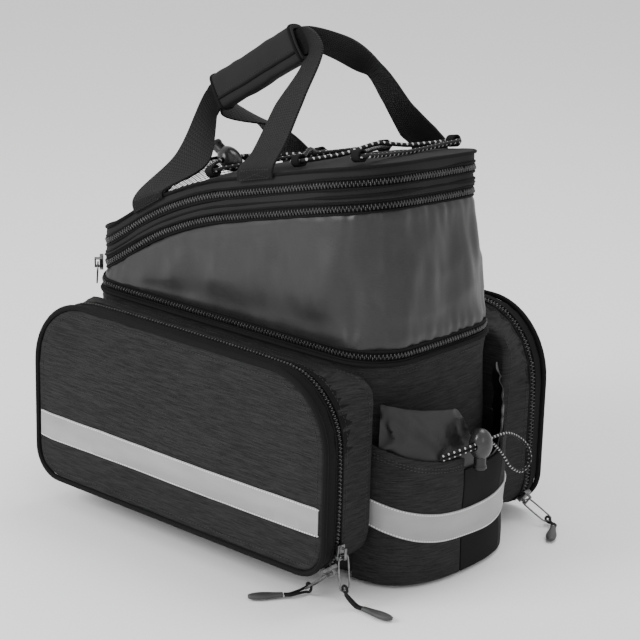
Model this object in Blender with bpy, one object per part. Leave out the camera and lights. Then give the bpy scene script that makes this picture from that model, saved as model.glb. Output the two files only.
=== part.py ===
"""Expandable bicycle trunk bag with two side pouches and a rear bottle pocket.

Metres, +Z up.  +X is the bag's rear, -Y its near side, and the origin lies on the floor
under the middle of the body.
"""
import math

import bmesh
import bpy
from mathutils import Matrix, Vector

# Cloth, seams and clearances
WALL = 0.002
THIN_WALL = 0.0015
CLEAR = 0.0003
ZIP_WIDTH = 0.0075
ZIP_RIDGE = 0.0012

# Lower body
BODY_LENGTH = 0.304
BODY_WIDTH = 0.156
BODY_HEIGHT = 0.171
BODY_FRONT_RADIUS = 0.030
BODY_REAR_RADIUS = 0.040
BODY_EDGE = 0.004
BODY_LIP = 0.002
BODY_BULGE = 0.003

# Lid and the sleeve that lifts it
LID_OVERHANG = 0.003
LID_REAR_STEP = 0.014
LID_SIDE_STEP = 0.005
LID_FRONT_X = -BODY_LENGTH / 2 - LID_OVERHANG
LID_REAR_X = BODY_LENGTH / 2 - LID_REAR_STEP
LID_WIDTH = BODY_WIDTH - 2 * LID_SIDE_STEP
LID_FRONT_RADIUS = 0.032
LID_REAR_RADIUS = 0.040
LID_FRONT_GAP = 0.0035
LID_RISE = 0.100
LID_BAND = 0.0100
LID_RIM = 0.0080
LID_DOME = 0.006
LID_LEAN = 0.008
SLEEVE_BULGE = 0.003

# Side pouches
POUCH_LENGTH = 0.306
POUCH_HEIGHT = 0.150
FAR_POUCH_STRETCH = 1.10
POUCH_FLOOR_Z = 0.0235
POUCH_DEPTH = 0.054
POUCH_TOP_RADIUS = 0.055
POUCH_BACK_RADIUS = 0.016
POUCH_BACK_DROP = 0.009
POUCH_BOTTOM_RADIUS = 0.024
POUCH_FRONT_GUSSET = 0.0115
POUCH_CHAMFER = 0.003
PIPING_RADIUS = 0.002
REFLECTOR_WIDTH = 0.022
REFLECTOR_Z = 0.068
REFLECTOR_THICKNESS = 0.0008

# Rear bottle pocket
POCKET_REACH = 0.050
POCKET_ROUNDNESS = 2.6
POCKET_FLOOR_Z = 0.003
POCKET_HEM_Z = 0.113
POCKET_SAG = 0.014
POCKET_LEAN = 0.010
POCKET_REFLECTOR_Z = 0.061
POCKET_GUSSET_DROP = 0.010
COLLAR_WALL = 0.0012
COLLAR_INSET = 0.0005
POCKET_GUSSET_START = -4.0
POCKET_GUSSET_END = 29.0

# Handles
STRAP_WIDTH = 0.036
STRAP_THICKNESS = 0.002
GRIP_THICKNESS = 0.016
GRIP_WALL = 0.0028
GRIP_ROOM = 0.0015

# Lid cord and its fabric loops
BUNGEE_RADIUS = 0.0017
BUNGEE_LOOP_INSET = 0.013
BUNGEE_LOOP_RADIUS = 0.0050
BUNGEE_LOOP_WALL = 0.0016
BUNGEE_LOOP_WIDTH = 0.007
BUNGEE_NEAR_X = (-0.030, 0.057, 0.114)
BUNGEE_FAR_X = (-0.028, 0.038, 0.106)
BUNGEE_LOOP_SINK = (0.0009, 0.0, 0.0)

# Net pocket on the front slope of the lid
NET_FRONT_X = LID_FRONT_X + 0.019
NET_REAR_X = NET_FRONT_X + 0.052
NET_WIDTH = LID_WIDTH - 0.030
NET_LIFT = 0.017
NET_SEAT = 0.0011
NET_THREAD = 0.0012
NET_COLUMNS = 5
NET_ROWS = 8
NET_BAR = 0.0011

# Cord locks
LOCK_RADIUS = 0.0088
LOCK_HALF_HEIGHT = 0.0120
LOCK_BORE = 0.0046
LOCK_TRAVEL = 0.004
PLUNGER_FOOT = 0.0105
PLUNGER_FOOT_HEIGHT = 0.003

# Zip hardware
SLIDER_LENGTH = 0.012
SLIDER_WIDTH = 0.0085
SLIDER_HEIGHT = 0.0030
BRIDGE_HEIGHT = 0.0042
BRIDGE_WIDTH = 0.0024
BRIDGE_LENGTH = 0.009
BRIDGE_BAR = 0.0013
BRIDGE_SINK = 0.0005
FRONT_SLIDER_RISE = 0.0014
RING_WIRE = 0.0009
RING_LENGTH = 0.026
RING_WIDTH = 0.011
PULL_CORD_RADIUS = 0.0013
PULL_END_LENGTH = 0.026
PULL_END_WIDTH = 0.010
PULL_END_THICKNESS = 0.0055

# Cords of the zip pulls
PULL_STRAND_SPACING = 1.15
PULL_CORD_DRAWN = PULL_CORD_RADIUS * 0.8
PULL_CORD_PITCH = PULL_CORD_RADIUS * 3
PULL_LEAD = 0.0055
PULL_END_GAP = 0.0009
PULL_LOOP_STEPS = 7
PULL_LOOP_START = -55.0
PULL_LOOP_SWEEP = 290.0
PULL_LOOP_SHIFT = 0.0016
RING_BAR_SETBACK = 0.0018

# Drawcord of the rear pocket and its lock
DRAWCORD_RADIUS = 0.0012
DRAWCORD_HOLE = DRAWCORD_RADIUS * 2.75
DRAWCORD_SPACING = DRAWCORD_RADIUS * 1.12
DRAWCORD_HEM_RISE = DRAWCORD_RADIUS * 2.45
DRAWCORD_PITCH = DRAWCORD_RADIUS * 6.2
DRAWCORD_MIDDLE = 0.45
DRAWCORD_BOW = (0.002, 0.0, 0.001)
POCKET_LOCK_ANGLE = -1.5
POCKET_LOCK_Z = 0.1065
POCKET_CORD_ANGLE = -21.0

# Points of the hanging loop, from the middle of the lock
POCKET_LOOP = (
    (-0.002, 0.034, -0.001),
    (-0.004, 0.052, -0.009),
    (-0.005, 0.068, -0.022),
    (-0.005, 0.072, -0.034),
    (-0.005, 0.063, -0.040),
    (-0.004, 0.046, -0.032),
    (-0.003, 0.030, -0.015),
)

FRONT_STEPS = 2
CORNER_STEPS = 4
SIDE_STEPS = 5
REAR_STEPS = 3

ZIP_BASE_Z = BODY_HEIGHT + CLEAR
SLEEVE_BASE_Z = ZIP_BASE_Z + ZIP_WIDTH + CLEAR
LID_FRONT_Z = SLEEVE_BASE_Z + LID_FRONT_GAP
LID_BAND_BASE = ZIP_WIDTH + CLEAR
LID_ZIP_BASE = LID_BAND_BASE + LID_BAND + CLEAR
LID_TOP_BASE = LID_ZIP_BASE + ZIP_WIDTH + CLEAR
LID_TOP_RISE = LID_TOP_BASE + LID_RIM
LID_MID_X = (LID_FRONT_X + LID_REAR_X) / 2
LID_HALF = LID_WIDTH / 2
POUCH_BACK_Y = BODY_WIDTH / 2 + CLEAR
POUCH_FACE_Y = BODY_WIDTH / 2 + POUCH_DEPTH
POUCH_TOP_Z = POUCH_FLOOR_Z + POUCH_HEIGHT
PULL_REST_Z = PULL_END_THICKNESS / 2 + CLEAR
ZIP_FACE = THIN_WALL - WALL + ZIP_RIDGE + CLEAR
BAR_HEIGHT = SLIDER_HEIGHT + BRIDGE_HEIGHT * 0.36

# How the lid climbs: share of its length, share of its rise
LID_LINE = (
    (0.00, 0.00),
    (0.06, 0.04),
    (0.13, 0.15),
    (0.21, 0.30),
    (0.29, 0.43),
    (0.43, 0.60),
    (0.57, 0.71),
    (0.71, 0.81),
    (0.85, 0.91),
    (1.00, 1.00),
)

# The sleeve's folds: share of its height, share of its bulge
SLEEVE_FOLDS = (
    (0.00, 0.0),
    (0.07, 0.6),
    (0.16, 0.2),
    (0.40, 1.0),
    (0.68, 0.9),
    (0.87, 0.2),
    (0.95, 0.6),
    (1.00, 0.0),
)

# The collar's height round the pocket: share of the way round, top as a share of the hem height
COLLAR_TOP = (
    (0.00, 1.28),
    (0.22, 1.24),
    (0.40, 1.20),
    (0.47, 1.15),
    (0.53, 0.80),
    (0.66, 0.78),
    (0.76, 1.02),
    (0.88, 1.24),
    (1.00, 1.28),
)


def smooth_table(table, share):
    """Read a two-column table with a smooth curve through its rows."""
    share = min(max(share, table[0][0]), table[-1][0])
    last = len(table) - 2
    row = 0
    while row < last and share > table[row + 1][0]:
        row += 1

    def slope(index):
        low = max(index - 1, 0)
        high = min(index + 1, len(table) - 1)
        return (table[high][1] - table[low][1]) / (table[high][0] - table[low][0])

    span = table[row + 1][0] - table[row][0]
    t = (share - table[row][0]) / span
    start, end = table[row][1], table[row + 1][1]
    rise = (3 * t * t - 2 * t * t * t)
    lead = (t * t * t - 2 * t * t + t) * slope(row) * span
    tail = (t * t * t - t * t) * slope(row + 1) * span
    return start + (end - start) * rise + lead + tail


def make_material(name, colour, roughness, metallic=0.0):
    material = bpy.data.materials.new(name)
    material.use_nodes = True
    shader = material.node_tree.nodes["Principled BSDF"]
    shader.inputs["Base Color"].default_value = (*colour, 1.0)
    shader.inputs["Roughness"].default_value = roughness
    shader.inputs["Metallic"].default_value = metallic
    return material


def add_object(name, mesh_data, material):
    mesh = bpy.data.meshes.new(name)
    mesh_data.to_mesh(mesh)
    mesh_data.free()
    mesh.materials.append(material)
    mesh.shade_smooth()
    mesh.set_sharp_from_angle(angle=math.radians(40))
    obj = bpy.data.objects.new(name, mesh)
    bpy.context.scene.collection.objects.link(obj)
    return obj


def loft(name, rings, material, around=False, cap=None):
    """Join equally long closed rings; the ends are capped, or meet when around is set."""
    data = bmesh.new()
    rows = [[data.verts.new(point) for point in ring] for ring in rings]
    count = len(rows[0])
    pairs = list(zip(rows, rows[1:]))
    if around:
        pairs.append((rows[-1], rows[0]))
    for low, high in pairs:
        for i in range(count):
            j = (i + 1) % count
            data.faces.new((low[i], low[j], high[j], high[i]))
    if not around:
        for ring in (rows[0], rows[-1]):
            (cap or flat_cap)(data, ring)
    bmesh.ops.recalc_face_normals(data, faces=data.faces)
    return add_object(name, data, material)


def flat_cap(data, ring):
    data.faces.new(ring)


def mirrored_cap(data, ring):
    """Close a ring whose points mirror in Y, with strips from side to side."""
    count = len(ring)
    data.faces.new((ring[0], ring[1], ring[count - 1]))
    for k in range(1, count // 2 - 1):
        data.faces.new((ring[k], ring[k + 1], ring[count - k - 1], ring[count - k]))
    middle = count // 2
    data.faces.new((ring[middle - 1], ring[middle], ring[middle + 1]))


def plan_loop(front_x, rear_x, half_width, front_radius, rear_radius):
    """Stations (x, y, normal x, normal y) round a plan, from the front middle by the near side."""
    half = []
    front_y = half_width - front_radius
    rear_y = half_width - rear_radius
    for k in range(FRONT_STEPS):
        half.append((front_x, -front_y * k / FRONT_STEPS, -1.0, 0.0))
    for k in range(CORNER_STEPS):
        angle = math.pi + math.pi / 2 * k / CORNER_STEPS
        normal = (math.cos(angle), math.sin(angle))
        half.append((front_x + front_radius * (1 + normal[0]), -front_y + front_radius * normal[1], *normal))
    side_start = front_x + front_radius
    side_length = rear_x - rear_radius - side_start
    for k in range(SIDE_STEPS):
        half.append((side_start + side_length * (k / SIDE_STEPS) ** 1.25, -half_width, 0.0, -1.0))
    for k in range(CORNER_STEPS):
        angle = math.pi * 1.5 + math.pi / 2 * k / CORNER_STEPS
        normal = (math.cos(angle), math.sin(angle))
        half.append((rear_x - rear_radius * (1 - normal[0]), -rear_y + rear_radius * normal[1], *normal))
    for k in range(REAR_STEPS + 1):
        half.append((rear_x, -rear_y * (1 - k / REAR_STEPS), 1.0, 0.0))
    far = [(x, -y, nx, -ny) for x, y, nx, ny in half[-2:0:-1]]
    return half + far


def body_plan():
    return plan_loop(-BODY_LENGTH / 2, BODY_LENGTH / 2, BODY_WIDTH / 2, BODY_FRONT_RADIUS, BODY_REAR_RADIUS)


def lid_plan():
    return plan_loop(LID_FRONT_X, LID_REAR_X, LID_HALF, LID_FRONT_RADIUS, LID_REAR_RADIUS)


def lid_line(x, y=-LID_HALF):
    """Height of the lid's lower edge; the lifted lid leans a little towards the far side."""
    share = smooth_table(LID_LINE, (x - LID_FRONT_X) / (LID_REAR_X - LID_FRONT_X))
    return LID_FRONT_Z + LID_RISE * share - LID_LEAN * share * (1 + y / LID_HALF) / 2


def lid_slope(x):
    step = 0.004
    return math.atan((lid_line(x + step) - lid_line(x - step)) / (2 * step))


def crown_z(x, y):
    """Height of the lid's domed top."""
    half_length = (LID_REAR_X - LID_FRONT_X) / 2
    side_share = 1 - abs(y) / LID_HALF
    end_share = (1 - abs(x - LID_MID_X) / half_length) * half_length / LID_HALF
    share = min(max(min(side_share, end_share), 0.0), 1.0)
    return lid_line(x, y) + LID_TOP_RISE + LID_DOME * (1 - (1 - share) ** 2)


def level_ring(plan, z, offset, end_bulge=0.0):
    ring = []
    for x, y, nx, ny in plan:
        out = offset + end_bulge * nx * nx
        ring.append(Vector((x + nx * out, y + ny * out, z)))
    return ring


def lid_ring(rise, offset):
    """A ring round the lid, at one height above the lid's lower edge."""
    return [Vector((x + nx * offset, y + ny * offset, lid_line(x, y) + rise)) for x, y, nx, ny in lid_plan()]


def crown_ring(share, drop):
    """A ring on the domed top, moved in by a share of the half width."""
    ring = []
    end_share = share * LID_WIDTH / (LID_REAR_X - LID_FRONT_X)
    for x, y, _, _ in lid_plan():
        px = LID_MID_X + (x - LID_MID_X) * (1 - end_share)
        dome = LID_DOME * (1 - (1 - share) ** 2)
        py = y * (1 - share)
        ring.append(Vector((px, py, lid_line(px, py) + LID_TOP_RISE + dome - drop)))
    return ring


def add_body(cloth):
    plan = body_plan()
    middle = BODY_HEIGHT / 2
    lip_z = BODY_HEIGHT - 3 * BODY_LIP
    rings = [
        level_ring(plan, 0.0, -BODY_EDGE),
        level_ring(plan, BODY_EDGE, 0.0),
        level_ring(plan, middle, 0.0, BODY_BULGE),
        level_ring(plan, lip_z, 0.0),
        level_ring(plan, lip_z + BODY_LIP, BODY_LIP),
        level_ring(plan, BODY_HEIGHT, 0.0),
        level_ring(plan, BODY_HEIGHT, -WALL),
        level_ring(plan, middle, -WALL, BODY_BULGE),
        level_ring(plan, BODY_EDGE + WALL, -WALL),
        level_ring(plan, WALL, -BODY_EDGE - WALL),
    ]
    return loft("body_shell", rings, cloth, cap=mirrored_cap)


def zip_section(width, thickness):
    """A zip tape's section: (across, out), with the teeth as a low ridge."""
    return (
        (0.0, 0.0),
        (0.0, thickness),
        (width / 2, thickness + ZIP_RIDGE),
        (width, thickness),
        (width, 0.0),
    )


def add_body_zip(tape):
    section = zip_section(ZIP_WIDTH, THIN_WALL)
    plan = body_plan()
    rings = [level_ring(plan, ZIP_BASE_Z + across, out - WALL) for across, out in section]
    return loft("body_zip", rings, tape, around=True)


def add_lid_zip(name, base, tape):
    section = zip_section(ZIP_WIDTH, THIN_WALL)
    rings = [lid_ring(base + across, out - WALL) for across, out in section]
    return loft(name, rings, tape, around=True)


def add_sleeve(nylon):
    base_plan = body_plan()
    top_plan = lid_plan()
    full_height = LID_RISE * 0.6

    def ring(share, inward):
        points = []
        for low, high in zip(base_plan, top_plan):
            top_z = lid_line(high[0], high[1]) - CLEAR
            height = top_z - SLEEVE_BASE_Z
            fold = SLEEVE_BULGE * smooth_table(SLEEVE_FOLDS, share) * min(1.0, height / full_height)
            out = fold - inward - THIN_WALL / 2
            nx = low[2] + (high[2] - low[2]) * share
            ny = low[3] + (high[3] - low[3]) * share
            x = low[0] + (high[0] - low[0]) * share + nx * out
            y = low[1] + (high[1] - low[1]) * share + ny * out
            points.append(Vector((x, y, SLEEVE_BASE_Z + height * share)))
        return points

    outer = [ring(row[0], 0.0) for row in SLEEVE_FOLDS]
    inner = [ring(row[0], THIN_WALL) for row in reversed(SLEEVE_FOLDS) if row[0] not in (0.07, 0.95)]
    return loft("expansion_sleeve", outer + inner, nylon, around=True)


def add_lid_band(cloth):
    base = LID_BAND_BASE
    rings = [
        lid_ring(base, -WALL),
        lid_ring(base, 0.0),
        lid_ring(base + BODY_LIP, BODY_LIP),
        lid_ring(base + 2 * BODY_LIP, 0.0),
        lid_ring(base + LID_BAND, 0.0),
        lid_ring(base + LID_BAND, -WALL),
    ]
    return loft("lid_band", rings, cloth, around=True)


def add_lid_top(cloth):
    shares = (0.10, 0.30, 0.62)
    outer = [crown_ring(share, 0.0) for share in reversed(shares)]
    rim = [
        lid_ring(LID_TOP_RISE, -WALL / 2),
        lid_ring(LID_TOP_RISE - WALL, 0.0),
        lid_ring(LID_TOP_BASE, 0.0),
        lid_ring(LID_TOP_BASE, -WALL),
        lid_ring(LID_TOP_RISE - 2 * WALL, -WALL),
    ]
    inner = [crown_ring(share, WALL) for share in shares]
    return loft("lid_top", outer + rim + inner, cloth, cap=mirrored_cap)


def pouch_outline(inset, top_radius=POUCH_TOP_RADIUS, drop=0.0):
    """Stations (x, z, normal x, normal z) round a pouch, from the bottom rear corner upwards."""
    half = POUCH_LENGTH / 2 - inset
    low = POUCH_FLOOR_Z + inset
    high = POUCH_TOP_Z - drop - inset
    top = top_radius - inset
    bottom = POUCH_BOTTOM_RADIUS - inset
    corners = (
        (half - bottom, low + bottom, bottom, -90, 3),
        (half - top, high - top, top, 0, 5),
        (-half + top, high - top, top, 90, 5),
        (-half + bottom, low + bottom, bottom, 180, 3),
    )
    stations = []
    for cx, cz, radius, start, steps in corners:
        for k in range(steps + 1):
            angle = math.radians(start + 90 * k / steps)
            normal = (math.cos(angle), math.sin(angle))
            stations.append((cx + radius * normal[0], cz + radius * normal[1], *normal))
    return stations


def pouch_ring(side, inset, y):
    return [Vector((x, side * y, z)) for x, z, _, _ in pouch_outline(inset)]


def pouch_back_ring(side, inset, y):
    """Near the body the pouch is squarer at the top, and lower."""
    outline = pouch_outline(inset, POUCH_BACK_RADIUS, POUCH_BACK_DROP)
    return [Vector((x, side * y, z)) for x, z, _, _ in outline]


def pouch_hang(side, z):
    """The far pouch hangs a little longer than the near one, from the same top."""
    return POUCH_TOP_Z - (POUCH_TOP_Z - z) * FAR_POUCH_STRETCH if side > 0 else z


def add_pouch(prefix, side, cloth, plain, tape, trim, reflective):
    face_y = POUCH_FACE_Y
    gusset_y = face_y - POUCH_FRONT_GUSSET
    face = [
        pouch_ring(side, POUCH_CHAMFER, face_y),
        pouch_ring(side, 0.0, face_y - POUCH_CHAMFER),
        pouch_ring(side, 0.0, gusset_y),
        pouch_ring(side, WALL, gusset_y),
        pouch_ring(side, WALL, face_y - POUCH_CHAMFER),
        pouch_ring(side, WALL + POUCH_CHAMFER, face_y - WALL),
    ]
    loft(prefix + "_pouch_face", face, cloth)

    reach = (PIPING_RADIUS + CLEAR) / math.sqrt(2)
    pipe_inset = POUCH_CHAMFER / 2 - reach
    pipe_y = face_y - POUCH_CHAMFER / 2 + reach
    rings = []
    for k in range(6):
        angle = 2 * math.pi * k / 6
        out = PIPING_RADIUS * math.cos(angle)
        rings.append(pouch_ring(side, pipe_inset - out, pipe_y + PIPING_RADIUS * math.sin(angle)))
    loft(prefix + "_pouch_piping", rings, trim, around=True)

    zip_y = gusset_y - CLEAR
    section = zip_section(ZIP_WIDTH, THIN_WALL)
    stations = pouch_outline(0.0)
    low_y = zip_y - ZIP_WIDTH

    def band(path, outline):
        return [[Vector((x + nx * out, side * (zip_y - across), z + nz * out)) for across, out in outline]
                for x, z, nx, nz in path]

    tape_section = [(across, out - WALL) for across, out in section]
    loft(prefix + "_pouch_zip", band(stations[1:-1], tape_section), tape)
    floor_section = ((0.0, -WALL), (0.0, 0.0), (ZIP_WIDTH, 0.0), (ZIP_WIDTH, -WALL))
    floor_path = [stations[-2], stations[-1], stations[0], stations[1]]
    for end, way in ((0, 1), (3, -1)):
        x, z, nx, nz = floor_path[end]
        floor_path[end] = (x - nz * way * 2 * CLEAR, z + nx * way * 2 * CLEAR, nx, nz)
    loft(prefix + "_pouch_floor", band(floor_path, floor_section), plain)

    back_front_y = low_y - CLEAR
    back = [
        pouch_back_ring(side, POUCH_CHAMFER, POUCH_BACK_Y),
        pouch_back_ring(side, 0.0, POUCH_BACK_Y + POUCH_CHAMFER),
        pouch_ring(side, 0.0, back_front_y),
        pouch_ring(side, WALL, back_front_y),
        pouch_back_ring(side, WALL, POUCH_BACK_Y + POUCH_CHAMFER),
        pouch_back_ring(side, WALL + POUCH_CHAMFER, POUCH_BACK_Y + WALL),
    ]
    loft(prefix + "_pouch_back", back, cloth)

    strip_y = face_y + CLEAR
    strip_half = POUCH_LENGTH / 2 - POUCH_CHAMFER - PIPING_RADIUS
    strip = [
        [Vector((x, side * y, REFLECTOR_Z + z)) for y, z in (
            (strip_y, -REFLECTOR_WIDTH / 2), (strip_y + REFLECTOR_THICKNESS, -REFLECTOR_WIDTH / 2),
            (strip_y + REFLECTOR_THICKNESS, REFLECTOR_WIDTH / 2), (strip_y, REFLECTOR_WIDTH / 2))]
        for x in (-strip_half, strip_half)
    ]
    loft(prefix + "_pouch_reflector", strip, reflective)
    for word in ("face", "piping", "zip", "floor", "back", "reflector"):
        for vertex in bpy.data.objects[prefix + "_pouch_" + word].data.vertices:
            vertex.co.z = pouch_hang(side, vertex.co.z)


POCKET_START_X = BODY_LENGTH / 2 - BODY_REAR_RADIUS / 2
POCKET_HALF = BODY_WIDTH / 2 - BODY_REAR_RADIUS * (1 - math.cos(math.radians(30))) + 0.0007


def pocket_point(angle, offset):
    """A point on the pocket's bowed plan, angle in degrees from the near end to the far end."""
    turn = math.radians(angle)
    power = 2 / POCKET_ROUNDNESS
    reach = POCKET_REACH + offset
    half = POCKET_HALF + offset
    x = POCKET_START_X + reach * max(math.cos(turn), 0.0) ** power
    y = math.copysign(half * abs(math.sin(turn)) ** power, turn)
    return x, y


def pocket_sink(angle):
    """How far the loaded pocket sinks: most in the middle, and more at its far end than its near one."""
    return POCKET_SAG * math.cos(math.radians(angle)) ** 1.5 + POCKET_LEAN * (angle + 90) / 180


def hem_z(angle):
    """The pocket's hem sags towards the middle."""
    return POCKET_HEM_Z - pocket_sink(angle)


def pocket_wall(name, angles, inner, outer, low, high, material):
    """A closed stretch of wall that follows the pocket's plan between two heights."""
    rings = []
    for angle in angles:
        ix, iy = pocket_point(angle, inner)
        ox, oy = pocket_point(angle, outer)
        rings.append([Vector((ix, iy, low(angle))), Vector((ox, oy, low(angle))),
                      Vector((ox, oy, high(angle))), Vector((ix, iy, high(angle)))])
    return loft(name, rings, material)


def spread(start, end, steps):
    return [start + (end - start) * k / steps for k in range(steps + 1)]


def add_pocket(cloth, plain, nylon, reflective):
    seam = 0.25

    def floor(_):
        return POCKET_FLOOR_Z

    def gusset_hem(angle):
        return hem_z(angle) - POCKET_GUSSET_DROP

    left = spread(-90, POCKET_GUSSET_START - seam, 9)
    middle = spread(POCKET_GUSSET_START + seam, POCKET_GUSSET_END - seam, 4)
    right = spread(POCKET_GUSSET_END + seam, 90, 7)
    pocket_wall("pocket_left_panel", left, 0.0, WALL, floor, hem_z, cloth)
    pocket_wall("pocket_gusset", middle, 0.0, WALL, floor, gusset_hem, plain)
    pocket_wall("pocket_right_panel", right, 0.0, WALL, floor, hem_z, cloth)

    strip_in = WALL + CLEAR

    def strip_low(angle):
        return POCKET_REFLECTOR_Z - REFLECTOR_WIDTH / 2 - pocket_sink(angle)

    def strip_high(angle):
        return strip_low(angle) + REFLECTOR_WIDTH

    pocket_wall("pocket_reflector", spread(-88, 88, 18), strip_in, strip_in + REFLECTOR_THICKNESS,
                strip_low, strip_high, reflective)

    def collar_low(angle):
        return POCKET_HEM_Z * 0.72

    def collar_high(angle):
        return POCKET_HEM_Z * smooth_table(COLLAR_TOP, (angle + 90) / 180)

    pocket_wall("pocket_collar", spread(-74, 74, 16), -COLLAR_INSET - COLLAR_WALL, -COLLAR_INSET,
                collar_low, collar_high, nylon)

    outline = [pocket_point(angle, -CLEAR * 2) for angle in spread(-80, 80, 14)]
    rear_x = BODY_LENGTH / 2 + BODY_BULGE * 0.2 + CLEAR * 2
    straight = BODY_WIDTH / 2 - BODY_REAR_RADIUS
    inner = [(rear_x, straight), (rear_x, -straight)]
    arc_radius = BODY_REAR_RADIUS + CLEAR * 3
    centre_x = BODY_LENGTH / 2 - BODY_REAR_RADIUS
    far_arc = []
    for degrees in (50, 25):
        turn = math.radians(degrees)
        far_arc.append((centre_x + arc_radius * math.cos(turn), straight + arc_radius * math.sin(turn)))
    near_arc = [(x, -y) for x, y in reversed(far_arc)]
    plan = outline + far_arc + inner + near_arc
    rings = [[Vector((x, y, z)) for x, y in plan] for z in (POCKET_FLOOR_Z, POCKET_FLOOR_Z + WALL)]
    loft("pocket_base", rings, plain)


def curve_point(points, t):
    """Centripetal Catmull-Rom point through a list of vectors, t from 0 to the last index."""
    index = min(int(t), len(points) - 2)
    share = t - index
    start, end = points[index], points[index + 1]
    before = points[index - 1] if index > 0 else 2 * start - end
    after = points[index + 2] if index + 2 < len(points) else 2 * end - start
    row = (before, start, end, after)
    knots = [0.0]
    for here, following in zip(row, row[1:]):
        knots.append(knots[-1] + max((following - here).length, 1e-5) ** 0.5)
    place = knots[1] + (knots[2] - knots[1]) * share

    def blend(low, high, low_knot, high_knot):
        return low + (high - low) * ((place - low_knot) / (high_knot - low_knot))

    first = [blend(row[k], row[k + 1], knots[k], knots[k + 1]) for k in range(3)]
    second = [blend(first[k], first[k + 1], knots[k], knots[k + 2]) for k in range(2)]
    return blend(second[0], second[1], knots[1], knots[2])


def add_ribbon(name, rows, width, thickness, steps, material):
    """A strap through rows of (point, width direction, share of the full width)."""
    points = [row[0] for row in rows]
    widths = [row[1].normalized() for row in rows]
    shares = [row[2] for row in rows]
    last = len(points) - 1
    rings = []
    for k in range(steps + 1):
        t = last * k / steps
        ahead = curve_point(points, min(t + 0.02, last))
        behind = curve_point(points, max(t - 0.02, 0))
        row = min(int(t), last - 1)
        across = widths[row].lerp(widths[row + 1], t - row).normalized()
        out = (ahead - behind).cross(across).normalized() * thickness / 2
        centre = curve_point(points, t)
        share = shares[row] + (shares[row + 1] - shares[row]) * (t - row)
        side = across * width * share / 2
        rings.append([centre - side - out, centre + side - out, centre + side + out, centre - side + out])
    return loft(name, rings, material)


GRIP_START = Vector((-0.0720, -0.010, 0.3305))
GRIP_END = Vector((0.0130, -0.010, 0.3815))
GRIP_GATHER = 0.55
NEAR_BEND = Vector((0.017, -0.008, -0.004))
FAR_BEND = Vector((0.004, 0.010, 0.008))
GRIP_SPREAD = STRAP_THICKNESS / 2 + CLEAR * 2
HANDLE_BASE_RISE = LID_TOP_BASE + LID_RIM * 0.6
NEAR_HANDLE_X = (-0.086, 0.027)
FAR_HANDLE_X = (-0.062, 0.072)

# How each strap falls from the grip to its rear base, as shares of the way in x, y and z
NEAR_FALL = (
    (1.35, 0.12, 0.07),
    (1.18, 0.48, 0.43),
    (1.05, 0.80, 0.77),
)
FAR_FALL = (
    (0.42, 0.20, 0.05),
    (0.66, 0.44, 0.22),
    (0.77, 0.70, 0.53),
    (0.92, 0.89, 0.79),
)


def handle_rows(side, base_x, fall):
    """Rows for one strap: up from its front base, through the grip and down to its rear base."""
    base_y = side * (LID_HALF + CLEAR + STRAP_THICKNESS / 2)
    axis = (GRIP_END - GRIP_START).normalized()
    upright = Vector((-axis.z, 0.0, axis.x))
    shift = Vector((0.0, side * GRIP_SPREAD, 0.0))
    edge_y = side * LID_HALF
    front = Vector((base_x[0], base_y, lid_line(base_x[0], edge_y) + HANDLE_BASE_RISE))
    rear = Vector((base_x[1], base_y, lid_line(base_x[1], edge_y) + HANDLE_BASE_RISE))
    front_slope = lid_slope(base_x[0])
    rear_slope = lid_slope(base_x[1])
    start = GRIP_START + shift
    end = GRIP_END + shift
    lead = start - axis * 0.007 + Vector((0.0, side * 0.0012, -0.005))
    clear_edge = Vector((0.0, 0.0, LID_RIM))
    rows = [
        (front, Vector((-math.cos(front_slope), 0, -math.sin(front_slope))), 1.0),
        (front + clear_edge, Vector((-1, 0, -math.tan(front_slope) * 0.7)), 1.0),
        (front.lerp(lead, 0.55) + (NEAR_BEND if side < 0 else FAR_BEND), Vector((-1, 0, 0.1)), 0.9),
        (lead, upright, 0.62),
        (start, upright, GRIP_GATHER),
        (start.lerp(end, 0.5), upright, GRIP_GATHER),
        (end, upright, GRIP_GATHER),
        (end + axis * 0.006, upright, GRIP_GATHER),
    ]
    near_turns = ((0.8, 0.0, 0.6), (1.0, 0.0, 0.3), (1.0, 0.0, 0.35))
    far_turns = ((-0.1, -0.1, 1.0), (0.8, -0.45, 0.45), (1.0, -0.2, 0.1), (1.0, 0.0, 0.3))
    turns = near_turns if side < 0 else far_turns
    for number, (shares, across) in enumerate(zip(fall, turns)):
        way = rear - end
        place = end + Vector((way.x * shares[0], way.y * shares[1], way.z * shares[2]))
        rows.append((place, Vector(across), min(1.0, 0.65 + 0.15 * number)))
    rows.append((rear + clear_edge, Vector((1, 0, math.tan(rear_slope) * 0.9)), 1.0))
    rows.append((rear, Vector((math.cos(rear_slope), 0, math.sin(rear_slope))), 1.0))
    return rows


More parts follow.
